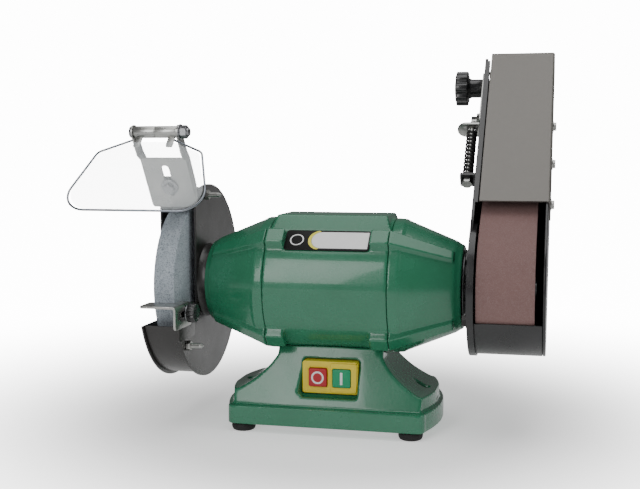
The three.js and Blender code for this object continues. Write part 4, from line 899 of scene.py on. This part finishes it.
@dataclass
class Motor:
    """The motor's castings and its plate."""

    radius: float = 62.0
    wall: float = 5.0
    half: float = 56.0
    bell_end: float = 118.5
    rib_reach: float = 69.0
    rib_start: float = 39.0
    plate_angle: float = -45.0
    rib_angles: tuple[float, ...] = (45.0, 135.0, 225.0, 315.0)

    def rib(self, x0: float, x1: float, reach: tuple[float, float], root: tuple[float, float],
            width: tuple[float, float], degrees: float) -> bpy.types.Object:
        """A flat-faced rib between two stations.

        Args:
            x0: first station.
            x1: second station.
            reach: outer radius at each station.
            root: inner radius at each station.
            width: half width at each station.
            degrees: its angle about the spindle.

        Returns:
            The rib.
        """
        corners = []
        for k, x in enumerate((x0, x1)):
            for r, flare in ((reach[k], 0.82), (root[k], 1.25)):
                corners += [(x, r, width[k] * flare), (x, r, -width[k] * flare)]
        return moved(hull(corners), Matrix.Rotation(math.radians(degrees), 4, "X"))

    def barrel(self) -> None:
        """Builds the centre housing with its pad, ribs and plate seat."""
        body = rod(self.radius, (-self.half - 0.13, 0, 0), (self.half + 0.13, 0, 0), 144)
        side = [(-34, 50), (34, 50), (34, 52), (25, 65.5), (-25, 65.5), (-34, 52)]
        front = [(-self.half, 50), (self.half, 50), (self.half - 5, 65.5), (5 - self.half, 65.5)]
        pad = combined(prism(front, -36, 36, "Y"), prism(side, -self.half, self.half), how="INTERSECT")
        body = combined(body, pad)
        for degrees in self.rib_angles:
            for side in (-1, 1):
                ends = sorted((side * self.rib_start, side * self.half))
                body = combined(body, self.rib(*ends, (self.rib_reach,) * 2, (55, 55), (9.5, 9.5), degrees))
        seat = moved(block(-39.3, 39.3, -124, -60.87, -11.8, 11.8), Matrix.Rotation(-math.pi / 4, 4, "X"))
        wedge = [(39, -66, -9), (39, -66, 9), (39, -61.2, -9), (39, -61.2, 9), (47, -66, 0), (47, -62.3, 0)]
        relief = moved(hull(wedge), Matrix.Rotation(-math.pi / 4, 4, "X"))
        line = prism(oval(0, -8, 74, 18), 64.6, 70, "Z", (oval(0, -8, 71.6, 15.6),))
        body = cut(body, rod(self.radius - self.wall, (-60, 0, 0), (60, 0, 0), 144), seat, relief, line)
        publish(cast(body, 1.05, 4), "motor_barrel", "frame", ENAMEL, ("motor_housing",))

    def bell(self, side: int) -> None:
        """Builds an end bell.

        Args:
            side: 1 for the right-hand bell, -1 for the left.
        """
        start, end = self.half + 0.17, self.bell_end
        body = turned([(0, start), (self.radius, start), (self.radius - 0.6, start + 9),
                       (self.radius - 2.2, start + 11.5),
                       (41.5, end - 6), (39.5, end - 3.5), (38, end), (0, end)], 144)
        for degrees in self.rib_angles:
            body = combined(body, self.rib(start, end - 7, (self.rib_reach, 45.5), (54, 33), (9.5, 6.5), degrees))
        body = cut(body, turned([(0, start - 1), (57, start - 1), (57, start + 7), (33, end - 8.5), (22.8, end - 8.5),
                                 (22.8, end - 18.2), (17.8, end - 18.2), (17.8, end - 6.5), (9.6, end - 6.5),
                                 (9.6, end + 1), (0, end + 1)], 144))
        body = cast(body, 0.95, 4)
        name = "right"
        if side < 0:
            name = "left"
            moved(body, Matrix.Rotation(math.pi, 4, "Z"))
        publish(body, f"motor_bell_{name}", "frame", ENAMEL, (f"end_bell_{name}",))

    def plate(self) -> None:
        """Builds the blank rating plate with its plain coloured fields."""
        turn = Matrix.Rotation(math.radians(self.plate_angle), 4, "X")
        base = prism(rectangle(-39, 39, -11.5, 11.5, 3), -62.17, -61.17, "Y")
        publish(bevelled(base, 0.25), "rating_plate", "frame", PLATE_BLACK, ("nameplate",), turn)
        field_line = arc(-5, 0, 9.4, 90, 270, 28) + [(37.2, -9.4), (37.2, 9.4)]
        publish(prism(field_line, -62.3, -62.0, "Y"), "rating_plate_silver_field", "frame",
                PLATE_SILVER, (), turn)
        crescent = arc(-6.6, 0, 11, 100, 260, 28) + arc(-5, 0, 9.7, 260, 100, 28)
        publish(prism(crescent, -62.28, -62.0, "Y"), "rating_plate_yellow_edge", "frame", PLATE_YELLOW,
                (), turn)
        ring = prism(arc(-28, 0, 6.4, 0, 352.5, 47), -62.28, -62.0, "Y", (arc(-28, 0, 5.3, 0, 352.5, 47),))
        publish(ring, "rating_plate_ring", "frame", PLATE_SILVER, (), turn)

    def build(self) -> None:
        """Builds the motor."""
        self.barrel()
        self.bell(1)
        self.bell(-1)
        self.plate()


@dataclass
class Spindle:
    """The grinding wheel and the flange that the arm turns on."""

    wheel_r: float = 75.0
    wheel_x: tuple[float, float] = (-154.0, -134.0)

    def wheel(self) -> None:
        """Builds the wheel with slightly dressed edges."""
        low, high = self.wheel_x
        r = self.wheel_r
        profile = [(6.8, low), (r - 1.4, low), (r - 0.4, low + 0.5), (r, low + 1.6), (r, high - 1.6),
                   (r - 0.4, high - 0.5), (r - 1.4, high), (6.8, high)]
        publish(turned(profile, 160), "grinding_wheel_stone", "spindle", STONE, ("grinding_wheel",))

    def flange(self) -> None:
        """Builds the flange and spigot that carry the arm."""
        profile = [(10, 118.8), (33.4, 118.8), (34, 119.3), (34, 120.2), (33.4, 120.7), (24.7, 120.7), (24.7, 125),
                   (24.2, 125.5), (10, 125.5)]
        publish(turned(profile, 120), "arm_flange_ring", "frame", BLACK_PAINT, ("arm_flange",))

    def build(self) -> None:
        """Builds the spindle's visible pieces."""
        self.wheel()
        self.flange()


@dataclass
class WheelGuard:
    """The wheel's sheet guard, its cover and its screws."""

    radius: float = 92.0
    band_radius: float = 89.0
    sheet: float = 2.0
    mouth_y: float = 36.0
    mouth_drop: float = 33.0
    inner_x: float = -126.5
    open_x: float = -159.5
    screw_r: float = 82.5
    screw_angles: tuple[float, ...] = (220.0, 96.0, 330.0)

    def outline(self, radius: float, mouth_y: float, drop: float) -> Outline:
        """A disc whose front upper corner is open.

        Args:
            radius: the disc's radius.
            mouth_y: the upright edge of the mouth, in front of the axis.
            drop: the lower edge of the mouth, below the axis.

        Returns:
            The outline as (y, z).
        """
        start = 180 + math.degrees(math.asin(drop / radius))
        end = 360 + math.degrees(math.acos(-mouth_y / radius))
        return arc(0, 0, radius, start, end, 96) + [(-mouth_y, -drop)]

    def places(self) -> Outline:
        """Where the guard's screws stand, as (y, z)."""
        return [spin_point(self.screw_r, a) for a in self.screw_angles]

    def holes(self, low: float, high: float) -> list[bpy.types.Object]:
        """The tools that cut the screw holes."""
        return [rod(2.8, (low, y, z), (high, y, z), 24) for y, z in self.places()]

    def guard(self) -> None:
        """Builds the inner plate, band, hub and bracket tab."""
        band = prism(self.outline(self.band_radius, self.mouth_y, self.mouth_drop), self.open_x, self.inner_x)
        hollow = rod(self.band_radius - self.sheet, (self.open_x - 1, 0, 0), (self.inner_x - self.sheet, 0, 0), 192)
        plate = prism(self.outline(self.radius, self.mouth_y, self.mouth_drop), self.inner_x - self.sheet, self.inner_x)
        body = combined(cut(band, hollow), plate)
        hub = turned([(0, -128), (36, -128), (34, -124.5), (34, -119.3), (33.3, -118.8), (0, -118.8)], 96)
        body = combined(body, hub)
        body = cut(body, rod(10, (-135, 0, 0), (-110, 0, 0), 48), *self.holes(-135, -120))
        mount = EyeShield().mount()
        band_end = Vector((0, *spin_point(self.band_radius - 1, math.degrees(math.acos(-self.mouth_y / self.radius)))))
        local = mount.inverted() @ Vector((EyeShield().centre_x, band_end.y, band_end.z))
        low = local.z - 1
        tab = prism(rectangle(-10.75, 10.75, low, 32, 2.5), 0.3, 2.3, "Y")
        knee = block(-10.75, 10.75, 1.0, local.y + 2.4, low, low + 2)
        tab = cut(combined(tab, knee), rod(3.3, (0, -5, 23), (0, 8, 23), 32))
        body = combined(body, moved(tab, mount))
        publish(bevelled(body, 0.45), "wheel_guard_shell", "frame", GUARD_PAINT, ("wheel_guard",))

    def cover(self) -> None:
        """Builds the outer cover with its pressed pan and dome."""
        low = self.open_x - 0.3 - self.sheet
        body = prism(self.outline(self.radius, self.mouth_y, self.mouth_drop), low, low + self.sheet)
        body = combined(body, prism(self.outline(76, 27, 42), low - 1.2, low + 0.8))
        dome = turned([(0, -168.1), (19.5, -168.1), (22.2, -167.2), (23.5, -165.4), (24, -163.4), (25.6, -162.6),
                       (25.6, -161), (0, -161)], 96)
        body = cut(combined(body, dome), rod(22, (-166.1, 0, 0), (-150, 0, 0), 96), *self.holes(-170, -150))
        publish(bevelled(body, 0.5, 3), "wheel_cover_pressing", "frame", GUARD_PAINT, ("guard_cover",))

    def fixings(self) -> None:
        """Builds the three long screws and their nuts."""
        places = self.places()
        heads = screws("guard_screw_heads", [(-162.1, y, z) for y, z in places], (0, -math.pi / 2, 0), ZINC, 4.3,
                       2.6, 28, 4.4)
        tip = [(0, -113), (2.3, -113), (0.7, -110.6), (0, -110.6)]
        shanks = [moved(grouped(threaded(2.5, -163, -112.8), turned(tip, 20)), Matrix.Translation((0, y, z)))
                  for y, z in places]
        publish(grouped(heads, *shanks), "guard_screws", "frame", ZINC,
                ("guard_screw_1", "guard_screw_2", "guard_screw_3"), smooth=28)
        nuts = [cut(hexagon(4.7, -126.2, -122.5, y, z), rod(2.55, (-130, y, z), (-120, y, z), 20)) for y, z in places]
        publish(grouped(*nuts), "guard_nuts", "frame", ZINC,
                ("guard_nut_1", "guard_nut_2", "guard_nut_3"))

    def build(self) -> None:
        """Builds the guard."""
        self.guard()
        self.cover()
        self.fixings()


@dataclass
class ToolRest:
    """The tool rest, the bracket that carries it and its clamp knob."""

    front: float = -104.0
    back: float = -77.5
    top: float = -12.0
    left: float = -156.0
    right: float = -121.9
    stud_y: float = -75.0
    stud_z: float = -21.0

    def table(self) -> None:
        """Builds the bent plate with its notch and slot."""
        z1, z0 = self.top, self.top - 21
        inner = self.right - 2
        bend = rounded([(self.left, z1 - 2, 0), (inner, z1 - 2, 1.2), (inner, z0, 0), (self.right, z0, 0),
                        (self.right, z1, 3), (self.left, z1, 0)])
        body = prism(bend, self.front, self.back + 15, "Y")
        plan = rounded([(self.left, self.front, 4), (self.right + 1, self.front, 0),
                        (self.right + 1, self.back + 12, 0),
                        (-132.5, self.back + 12, 2), (-132.5, self.back, 1.5), (self.left, self.back, 3)])
        side = rounded([(self.front, z0, 4), (self.back + 15, z0, 4), (self.back + 15, z1 - 4, 3),
                        (self.back + 8, z1 + 1, 0),
                        (self.front, z1 + 1, 0)])
        body = combined(body, combined(prism(plan, z1 - 2.5, z1 + 1, "Z"),
                                       prism(side, self.right - 2.5, self.right + 1)), how="INTERSECT")
        body = cut(body, prism(oval(self.stud_y - 3, self.stud_z, 24.6, 5.6), self.right - 4, self.right + 2))
        publish(bevelled(body, 0.35), "tool_rest_plate", "rest", ZINC, ("tool_rest",))

    def bracket(self) -> None:
        """Builds the bracket on the guard."""
        y, z = spin_point(82.5, 220)
        low = z + 7
        plate = prism(rectangle(-88, -48, low, -14, 3), -126.2, -124.2)
        plate = cut(plate, rod(2.8, (-130, self.stud_y, self.stud_z), (-120, self.stud_y, self.stud_z), 24))
        publish(bevelled(plate, 0.35), "rest_bracket_plate", "frame", GUARD_PAINT, ("rest_bracket",))

    def knob(self) -> None:
        """Builds the fluted clamp knob on its stud."""
        grip = bevelled(prism(lobed(0, 0, 8.5, 0.7, 16, 1.2), -120.2, -112.6), 0.9, 3, 50)
        cap = turned([(0, -113), (5.4, -113), (5.4, -112.1), (4.6, -111.7), (0, -111.7)], 32)
        stud = threaded(2.5, -126.2, -120)
        place = Matrix.Translation((0, self.stud_y, self.stud_z))
        knob = moved(grouped(combined(grip, cap), stud), place)
        washer = moved(bevelled(rod(7.6, (-121.6, 0, 0), (-120.3, 0, 0), 48), 0.3), place)
        publish(washer, "rest_clamp_washer", "rest_clamp_knob", STEEL)
        publish(knob, "rest_clamp", "rest_clamp_knob", GLOSS_BLACK, ("rest_knob",))

    def build(self) -> None:
        """Builds the tool rest."""
        self.table()
        self.bracket()
        self.knob()


@dataclass
class EyeShield:
    """The eye shield: slotted bracket, hinge pin, wire frame, clip and clear lens."""

    centre_x: float = -142.7
    foot_y: float = -45.0
    foot_z: float = 73.0
    lean: float = 34.0
    half: float = 21.5
    length: float = 54.0
    pin_height: float = 80.7
    slope: float = 43.0
    wire: float = 1.0
    bolt: float = 23.0

    def mount(self) -> Matrix:
        """The bracket's frame: z up the plate, y behind it."""
        place = Matrix.Translation((self.centre_x, self.foot_y, self.foot_z))
        return place @ Matrix.Rotation(math.radians(self.lean), 4, "X")

    def pin_place(self) -> Matrix:
        """The middle of the hinge pin."""
        return Matrix.Translation((self.centre_x, DATUM.pin.y, DATUM.pin.z))

    def hinge(self) -> Matrix:
        """The shield's frame, hanging from the pin."""
        return self.pin_place() @ Matrix.Rotation(-math.radians(self.slope), 4, "X")

    def bracket(self) -> None:
        """Builds the bracket with its two ears."""
        plate = prism(rectangle(-self.half, self.half, 0, self.length, 3), -1.5, 0, "Y")
        top = [(y, z, 0.0) for y, z in arc(0, self.pin_height, 6.3, 8, 172, 14)]
        ear = rounded([(-1.5, 4, 0), (2, 4, 1.5), (9, 19, 8), (9, 49, 8), (6.3, 58, 8), (6.3, self.pin_height, 0), *top,
                       (-6.3, self.pin_height, 0), (-6.3, 60, 6), (-1.5, 52, 4)], 4)
        for x0 in (-self.half, self.half - 1.5):
            plate = combined(plate, prism(ear, x0, x0 + 1.5))
        slot_hole = prism(oval(0, 29.5, 33, 6.8, 90), -4, 4, "Y")
        pin_hole = rod(3.8, (-40, 0, self.pin_height), (40, 0, self.pin_height), 40)
        body = bevelled(cut(plate, slot_hole, pin_hole), 0.3)
        publish(body, "shield_bracket_plate", "bracket", ZINC, ("shield_bracket",), self.mount())

    def fixings(self) -> None:
        """Builds the bracket's bolt and the hinge pin."""
        at = self.bolt
        washer = bevelled(rod(8, (0, -3.3, at), (0, -1.8, at), 48), 0.3)
        head = moved(hexagon(5.5, -7.1, -3.2), Matrix.Translation((0, 0, at)) @ X_TO_Y)
        shank = moved(threaded(3, -4, 7), Matrix.Translation((0, 0, at)) @ X_TO_Y)
        publish(grouped(washer, head, shank), "shield_bracket_bolt", "frame", STEEL, ("bracket_bolt",),
                self.mount())
        pin = bevelled(rod(3.5, (-23, 0, 0), (30.8, 0, 0), 40), 0.6)
        cap = turned([(0, -24.4), (3.4, -24.4), (4.9, -23.8), (5.5, -22.7), (5.5, -21.8), (0, -21.8)], 40)
        pin = grouped(pin, cap, hexagon(6, 23.2, 28.8), bevelled(rod(6.9, (21.8, 0, 0), (23, 0, 0), 40), 0.3))
        publish(pin, "shield_hinge_pin", "bracket", STEEL, ("hinge_pin",), self.pin_place())

    def run(self, inset: float, ends: float, drop: float) -> Outline:
        """The shield's edge from its clip round to its clip.

        Args:
            inset: how far inside the wire's middle.
            ends: half width where it meets the clip.
            drop: height where it meets the clip.

        Returns:
            The points as (x, z).
        """
        top, low = 47.5 - inset, 67 - inset
        return rounded([(-ends, drop, 0), (-top, -24 - inset, 8), (-low, inset - 89, 19), (low, inset - 89, 19),
                        (top, -24 - inset, 8), (ends, drop, 0)], 9)

    def shield(self) -> None:
        """Builds the wire frame, the lens and the clip."""
        points = [(x, 0.0, z) for x, z in self.run(0, 19.6, -10)]
        frame_wire = wire_along("shield_wire", WIRE, points, self.wire)
        publish(frame_wire, "shield_wire_frame", "shield", WIRE, ("shield_frame",), self.hinge(), 50)
        lens = bevelled(prism(self.run(self.wire + 0.8, 19, -12.5), -0.8, 0.8, "Y"), 0.3)
        publish(lens, "shield_lens_pane", "shield", LENS, ("shield_lens",), self.hinge())
        sleeve = turned([(3.8, -19.5), (5.3, -19.5), (5.3, -0.4), (4.9, -0.2), (4.9, 0.2), (5.3, 0.4), (5.3, 19.5),
                         (3.8, 19.5)], 48)
        strap = grouped(*[prism(rectangle(x - 3, x + 3, -16, -4.2, 1.2), 1.1, 2.6, "Y") for x in (-15, 15)])
        rivets = screws("clip_rivets", [(x, 2.5, -13) for x in (-15, 15)], (-math.pi / 2, 0, 0), ZINC, 1.8, 0.9, 20)
        publish(bevelled(grouped(combined(sleeve, strap), rivets), 0.25), "shield_clip_strap", "shield",
                ZINC, ("shield_clip",), self.hinge())

    def build(self) -> None:
        """Builds the eye shield."""
        self.bracket()
        self.fixings()
        self.shield()


@dataclass
class BeltArm:
    """The belt arm's housing, covers and belt, in the arm's own frame."""

    plate_x: float = 125.0
    plate_end: float = 127.5
    band_end: float = 189.2
    cover_x: float = 189.5
    cover_end: float = 192.0
    radius: float = 60.0
    top_radius: float = 36.0
    length: float = 250.0
    corner: float = 6.0
    wall: float = 1.5
    start: float = 50.3
    screw_places: tuple[float, ...] = (54.0, 104.5, 154.0)

    def outline(self, inset: float) -> Outline:
        """The housing's side view: round the drum, straight in front, tapering behind.

        Args:
            inset: how far inside the housing.

        Returns:
            The outline as (y, z).
        """
        low, high, corner = self.radius - inset, self.top_radius - inset, self.corner - inset
        centre = self.length - self.top_radius
        taper = math.degrees(math.asin((self.radius - self.top_radius) / centre))
        shape = arc(0, 0, low, 180, 360 + taper, 90) + arc(0, centre, high, taper, 90, 24)
        return shape + arc(-low + corner, self.length - inset - corner, corner, 90, 180, 12)

    def side_plate(self) -> None:
        """Builds the inner side plate with its rolled front lip."""
        body = prism(self.outline(0), self.plate_x, self.plate_end)
        r = self.radius
        lip = prism(rounded([(self.plate_x + 0.5, -r, 0.9), (130.2, -r, 0.6), (130.2, -r + 1.5, 0.6),
                             (self.plate_x + 0.5, -r + 1.5, 0)]), self.start, self.length - self.corner - 1, "Z")
        rim_line = arc(0, 0, 62, 152, 350, 72) + arc(0, 0, 60.3, 350, 152, 72)
        body = combined(body, lip, prism(rim_line, self.plate_x, self.plate_x + 6),
                        prism(arc(0, 0, 62, 152, 350, 72) + [(0, 0)], self.plate_x, self.plate_end))
        slot_tool = prism(oval(0, 212, 24, 12, 90), 122, 130)
        y, z = spin_point(47, 257)
        body = cut(body, rod(25, (122, 0, 0), (130, 0, 0), 96), slot_tool, rod(4.3, (122, y, z), (130, y, z), 32))
        publish(bevelled(body, 0.5), "arm_side_plate", "arm", BLACK_PAINT, ("arm_plate",), DATUM.arm())

    def band(self) -> None:
        """Builds the band round the belt, open in front."""
        x0 = self.plate_end + 0.3
        body = cut(prism(self.outline(0), x0, self.band_end), prism(self.outline(self.wall), x0 - 1, self.band_end + 1))
        edge = spin_point(self.radius * 1.3, 252)
        mouth = [(-78, edge[1]), edge, (-10, 0), (-40, self.start), (-40, 252), (-78, 252)]
        body = cut(body, prism(mouth, x0 - 1, self.band_end + 1))
        publish(bevelled(body, 0.4), "arm_band_sheet", "arm", BLACK_PAINT, ("arm_band",), DATUM.arm())

    def covers(self) -> None:
        """Builds the outer tray, the bright front cover and its screws."""
        sheet = bevelled(prism(self.outline(0), self.cover_x, self.cover_end), 0.8, 3, 60)
        publish(sheet, "arm_outer_sheet", "arm", BLACK_PAINT, ("outer_cover",), DATUM.arm())
        top, front = self.length + 1.8, -self.radius - 1.8
        skin = rounded([(131, front, 0.5), (193.8, front, 2.6), (193.8, front + 26, 0.5), (192.3, front + 26, 0.5),
                        (192.3, front + 1.5, 1.2), (131, front + 1.5, 0.5)])
        body = prism(skin, self.start, top - 0.6, "Z")
        cap = prism(rounded([(131, front, 1.0), (193.8, front, 2.6), (193.8, front + 26, 3), (131, front + 26, 3)]),
                    top - 1.5, top, "Z")
        body = bevelled(combined(body, cap), 0.45, 3)
        publish(body, "arm_front_cover", "arm", SATIN_GREY, ("front_cover",), DATUM.arm(), 8)
        heads = screws("cover_screws", [(193.9, -53, s) for s in self.screw_places], (0, math.pi / 2, 0), ZINC, 4.2,
                       3.0, 6, 5.2)
        publish(heads, "arm_cover_screws", "arm", ZINC, (), DATUM.arm())

    def belt(self) -> None:
        """Builds the sanding belt."""
        wrap = math.degrees(math.asin(35 / 218))

        def loop(extra: float) -> Outline:
            """The belt's line at a distance outside the drum."""
            return (arc(0, 0, 56.3 + extra, 180 - wrap, 360 + wrap, 90)
                    + arc(0, 218, 21.3 + extra, wrap, 180 - wrap, 48))

        body = cut(prism(loop(1.2), 132.7, 182.7), prism(loop(0), 131, 184))
        publish(body, "sanding_belt", "arm", GRIT, ("belt",), DATUM.arm())

    def clamp(self) -> None:
        """Builds the bolt that clamps the arm to its flange."""
        y, z = spin_point(47, 257)
        head = hexagon(5.5, 120.2, 123.6)
        collar = bevelled(rod(6.6, (123.5, 0, 0), (124.7, 0, 0), 48), 0.3)
        shank = threaded(4, 123, 131.5, 1.25)
        bolt = moved(grouped(head, collar, shank), Matrix.Translation((0, y, z)))
        publish(bolt, "arm_clamp", "arm", SPRING_BLACK, ("arm_clamp_bolt",), DATUM.arm())

    def build(self) -> None:
        """Builds the arm."""
        self.side_plate()
        self.band()
        self.covers()
        self.belt()
        self.clamp()


@dataclass
class BeltTension:
    """The sprung carriage of the idler, and the knob that tracks the belt."""

    spring_x: float = 114.4
    spring_y: float = -25.0
    spring_low: float = 112.7
    spring_high: float = 177.7
    travel: float = 12.0
    knob_y: float = -30.0
    knob_z: float = 235.0

    def bracket(self) -> None:
        """Builds the tab under the spring and the long bolt."""
        x, y, top = self.spring_x, self.spring_y, self.spring_low - 0.3
        tab = prism(rectangle(x - 7, 124.7, y - 8, y + 8, 2), top - 3, top, "Z")
        leaf = prism(rectangle(y - 8, y + 8, top - 14, top, 2), 122.7, 124.7)
        body = cut(combined(tab, leaf), rod(3.3, (x, y, top - 5), (x, y, top + 2), 32))
        publish(bevelled(body, 0.35), "spring_tab", "arm", BLACK_PAINT, ("spring_bracket",), DATUM.arm())
        place = Matrix.Translation((x, y, 0)) @ X_TO_Z
        bolt = grouped(moved(hexagon(5.5, top - 8.3, top - 3.3), place), moved(threaded(3, top - 4, 190, 1.0), place))
        publish(bolt, "tension_screw", "arm", ZINC, ("tension_bolt",), DATUM.arm(), 28)

    def spring(self) -> None:
        """Builds the compression spring, fixed to the arm."""
        length = self.spring_high - self.spring_low
        wound = coil("tension_coil", SPRING_BLACK, 12.0, 4.3, length - 2.6, 1.15)
        moved(wound, Matrix.Translation((self.spring_x, self.spring_y, self.spring_low + 1.2)))
        publish(wound, "tension_coil_spring", "arm", SPRING_BLACK, ("tension_spring",), DATUM.arm(), 50)
        foot = DATUM.to_frame(DATUM.arm()) @ Vector((self.spring_x, self.spring_y, self.spring_low))
        axis = DATUM.arm().to_3x3() @ Vector((0, 0, 1))
        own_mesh(wound)

    def carriage(self) -> None:
        """Builds the sliding plate with its tongue and axle."""
        plate = prism(rectangle(-42, 14, 178, 248, 5), 121.7, 124.7)
        tongue = [(122.5, -34), (122.5, -16), (108.7, -16)]
        tongue += arc(108.7, self.spring_y, 9, 90, 270, 20) + [(108.7, -34)]
        body = combined(plate, prism(list(dict.fromkeys(tongue)), 178, 181, "Z"))
        body = cut(body, rod(3.3, (self.spring_x, self.spring_y, 170), (self.spring_x, self.spring_y, 190), 32))
        body = bevelled(body, 0.4)
        axle = bevelled(rod(5, (109.7, 0, 218), (182.7, 0, 218), 48), 0.6)
        nut = hexagon(8.5, 115.2, 121.6, 0, 218)
        publish(grouped(body, axle, nut), "tension_carriage", "carriage", ZINC, ("tension_slide",),
                DATUM.arm())

    def knob(self) -> None:
        """Builds the fluted tracking knob."""
        head = bevelled(prism(lobed(0, 0, 17.5, 2.6, 8, 2.5), 94.5, 107.4), 2.2, 4, 50)
        crown = turned([(0, 93.6), (8.4, 93.6), (9.6, 94.0), (10.2, 95.5), (0, 95.5)], 64)
        stem = turned([(0, 106), (12.2, 106), (10.2, 109), (9.5, 111), (9.5, 120.6), (8.9, 121.4), (0, 121.4)], 64)
        knob = moved(grouped(head, crown, stem), Matrix.Translation((0, self.knob_y, self.knob_z)))
        publish(knob, "tracking_star_knob", "knob", GLOSS_BLACK, ("tracking_knob",), DATUM.arm(), 40)

    def build(self) -> None:
        """Builds the tensioning gear."""
        self.bracket()
        self.spring()
        self.carriage()
        self.knob()


@dataclass
class Inside:
    """Pieces of the frame that keep their own shape and get a fuller finish."""

    looks: dict[str, Finish] = field(default_factory=lambda: {
        "stator_core": CORE, "rotor_core": CORE, "winding_left": COPPER, "winding_right": COPPER,
        "bearing_left": STEEL, "bearing_right": STEEL, "spindle_shaft": STEEL, "wheel_flange_inner": STEEL,
        "wheel_flange_outer": STEEL, "wheel_nut": ZINC, "drive_drum": RUBBER, "drum_nut": ZINC,
        "idler_roller": STEEL, "platen": STEEL, "capacitor": PALE, "bottom_cover": SHEET})

    def build(self) -> None:
        """Dresses the kept nodes."""
        for node, finish in self.looks.items():
            thing = frame["nodes"][node]
            thing.data.materials.clear()
            thing.data.materials.append(finish.material())
            LOG.info("%s: kept, finished as %s", node, finish.name)


@dataclass
class Studio:
    """The floor, with a pool of painted shadow round the machine, the lights and the camera."""

    eye: tuple[float, float, float] = (203.6, -952.2, 124.1)
    pitch: float = 84.85
    yaw: float = 13.04
    lens: float = 58.85
    air: float = 0.16
    backdrop: float = 14.0
    # painted shadow: the floor's glow seen from the camera close to the machine, far below the backdrop's
    painted_shadow_level: float = 0.55
    floor_glow: float = 0.3
    # distances in metres over which the painted shadow pool rises to the backdrop's white
    shadow_pool_from: float = 0.16
    shadow_pool_to: float = 0.75

    def floor(self) -> None:
        """Builds the wide round floor that the machine stands on."""
        profile = [(0, 0), (1, 0), (4, 0), (15, 0)]
        bm = bmesh.new()
        rings = []
        for r, z in profile:
            angles = [2 * math.pi * i / 96 for i in range(96)]
            rings.append([bm.verts.new((r * math.cos(t), r * math.sin(t), z)) for t in angles] if r else
                         [bm.verts.new((0, 0, z))])
        for a, b in zip(rings, rings[1:]):
            for i in range(96):
                j = (i + 1) % 96
                corners = dict.fromkeys([a[i % len(a)], a[j % len(a)], b[j % len(b)], b[i % len(b)]])
                bm.faces.new(list(corners))
        ground = new_object(bm, "studio_floor")
        for face in ground.data.polygons:
            face.use_smooth = True
        paper = Finish("studio_paper", (0.86, 0.86, 0.86), (0.88, 0.88, 0.88), (0.85, 0.95), glow=self.floor_glow,
                       grain=300, relief=0.00001).material()
        # paints a darker pool of shade on the floor round the machine, on top of the lamps' real shadows
        self.paint_shadow_pool(paper.node_tree)
        ground.data.materials.append(paper)

    def paint_shadow_pool(self, tree: bpy.types.NodeTree) -> None:
        """Paints a grey pool of shadow on the floor round the machine, and runs the floor out to the backdrop's white
        away from it.

        Args:
            tree: the floor's material.
        """
        place = tree.nodes.new("ShaderNodeTexCoord")
        length = tree.nodes.new("ShaderNodeVectorMath")
        length.operation = "LENGTH"
        tree.links.new(place.outputs["Object"], length.inputs[0])
        # painted shadow: the camera's floor glow is low near the machine and rises to the backdrop's white far away
        spread = tree.nodes.new("ShaderNodeMapRange")
        spread.interpolation_type = "SMOOTHSTEP"
        for label, level in (("From Min", self.shadow_pool_from), ("From Max", self.shadow_pool_to),
                             ("To Min", self.painted_shadow_level), ("To Max", self.backdrop)):
            spread.inputs[label].default_value = level
        tree.links.new(length.outputs["Value"], spread.inputs["Value"])
        rays = tree.nodes.new("ShaderNodeLightPath")
        level = tree.nodes.new("ShaderNodeMapRange")
        level.inputs["To Min"].default_value = self.floor_glow
        tree.links.new(rays.outputs["Is Camera Ray"], level.inputs["Value"])
        tree.links.new(spread.outputs["Result"], level.inputs["To Max"])
        shader = next(n for n in tree.nodes if n.type == "BSDF_PRINCIPLED")
        tree.links.new(level.outputs["Result"], shader.inputs["Emission Strength"])

    def light(self, name: str, place: Colour, aim: Colour, size: tuple[float, float], power: float,
              tint: Colour = (1, 1, 1)) -> None:
        """Adds a soft area light.

        Args:
            name: the light's name.
            place: where it stands, in metres.
            aim: what it faces.
            size: its width and height.
            power: its power in watts.
            tint: its colour.
        """
        lamp = bpy.data.lights.new(name, "AREA")
        lamp.shape = "RECTANGLE"
        lamp.size, lamp.size_y = size
        lamp.energy = power
        lamp.color = tint
        holder = bpy.data.objects.new(name, lamp)
        holder.location = place
        holder.rotation_euler = (Vector(aim) - Vector(place)).to_track_quat("-Z", "Y").to_euler()
        bpy.context.scene.collection.objects.link(holder)

    def build(self) -> None:
        """Sets the stage."""
        self.floor()
        world = bpy.data.worlds.new("studio_air")
        world.use_nodes = True
        tree = world.node_tree
        shade = tree.nodes["Background"]
        shade.inputs["Strength"].default_value = 1.0
        rays = tree.nodes.new("ShaderNodeLightPath")
        level = tree.nodes.new("ShaderNodeMapRange")
        level.inputs["To Min"].default_value = self.air
        level.inputs["To Max"].default_value = self.backdrop
        tree.links.new(rays.outputs["Is Camera Ray"], level.inputs["Value"])
        tree.links.new(level.outputs["Result"], shade.inputs["Color"])
        bpy.context.scene.world = world
        self.light("overhead", (0.05, -0.1, 1.5), (0, 0, 0.15), (1.5, 1.1), 11)
        self.light("left_front", (-0.5, -1.5, 0.85), (0, 0, 0.12), (0.5, 1.2), 9)
        self.light("right_side", (1.5, -0.3, 0.7), (0.05, 0, 0.15), (0.5, 1.2), 4)
        camera = bpy.data.cameras.new("view")
        camera.lens = self.lens
        camera.sensor_width = 36
        camera.sensor_fit = "HORIZONTAL"
        camera.clip_start = 0.02
        camera.clip_end = 50
        holder = bpy.data.objects.new("view", camera)
        holder.location = DATUM.axis + Vector(self.eye) * MM
        holder.rotation_euler = (math.radians(self.pitch), 0, math.radians(self.yaw))
        bpy.context.scene.collection.objects.link(holder)
        bpy.context.scene.camera = holder


def main() -> None:
    """Builds every sub-assembly, then the stage."""
    logging.basicConfig(level=logging.INFO, format="%(name)s: %(message)s")
    for assembly in (Pedestal(), Switch(), Motor(), Spindle(), WheelGuard(), ToolRest(), EyeShield(), BeltArm(),
                     BeltTension(), Inside(), Studio()):
        LOG.info("building %s", type(assembly).__name__)
        assembly.build()


if __name__ == "__main__":
    main()
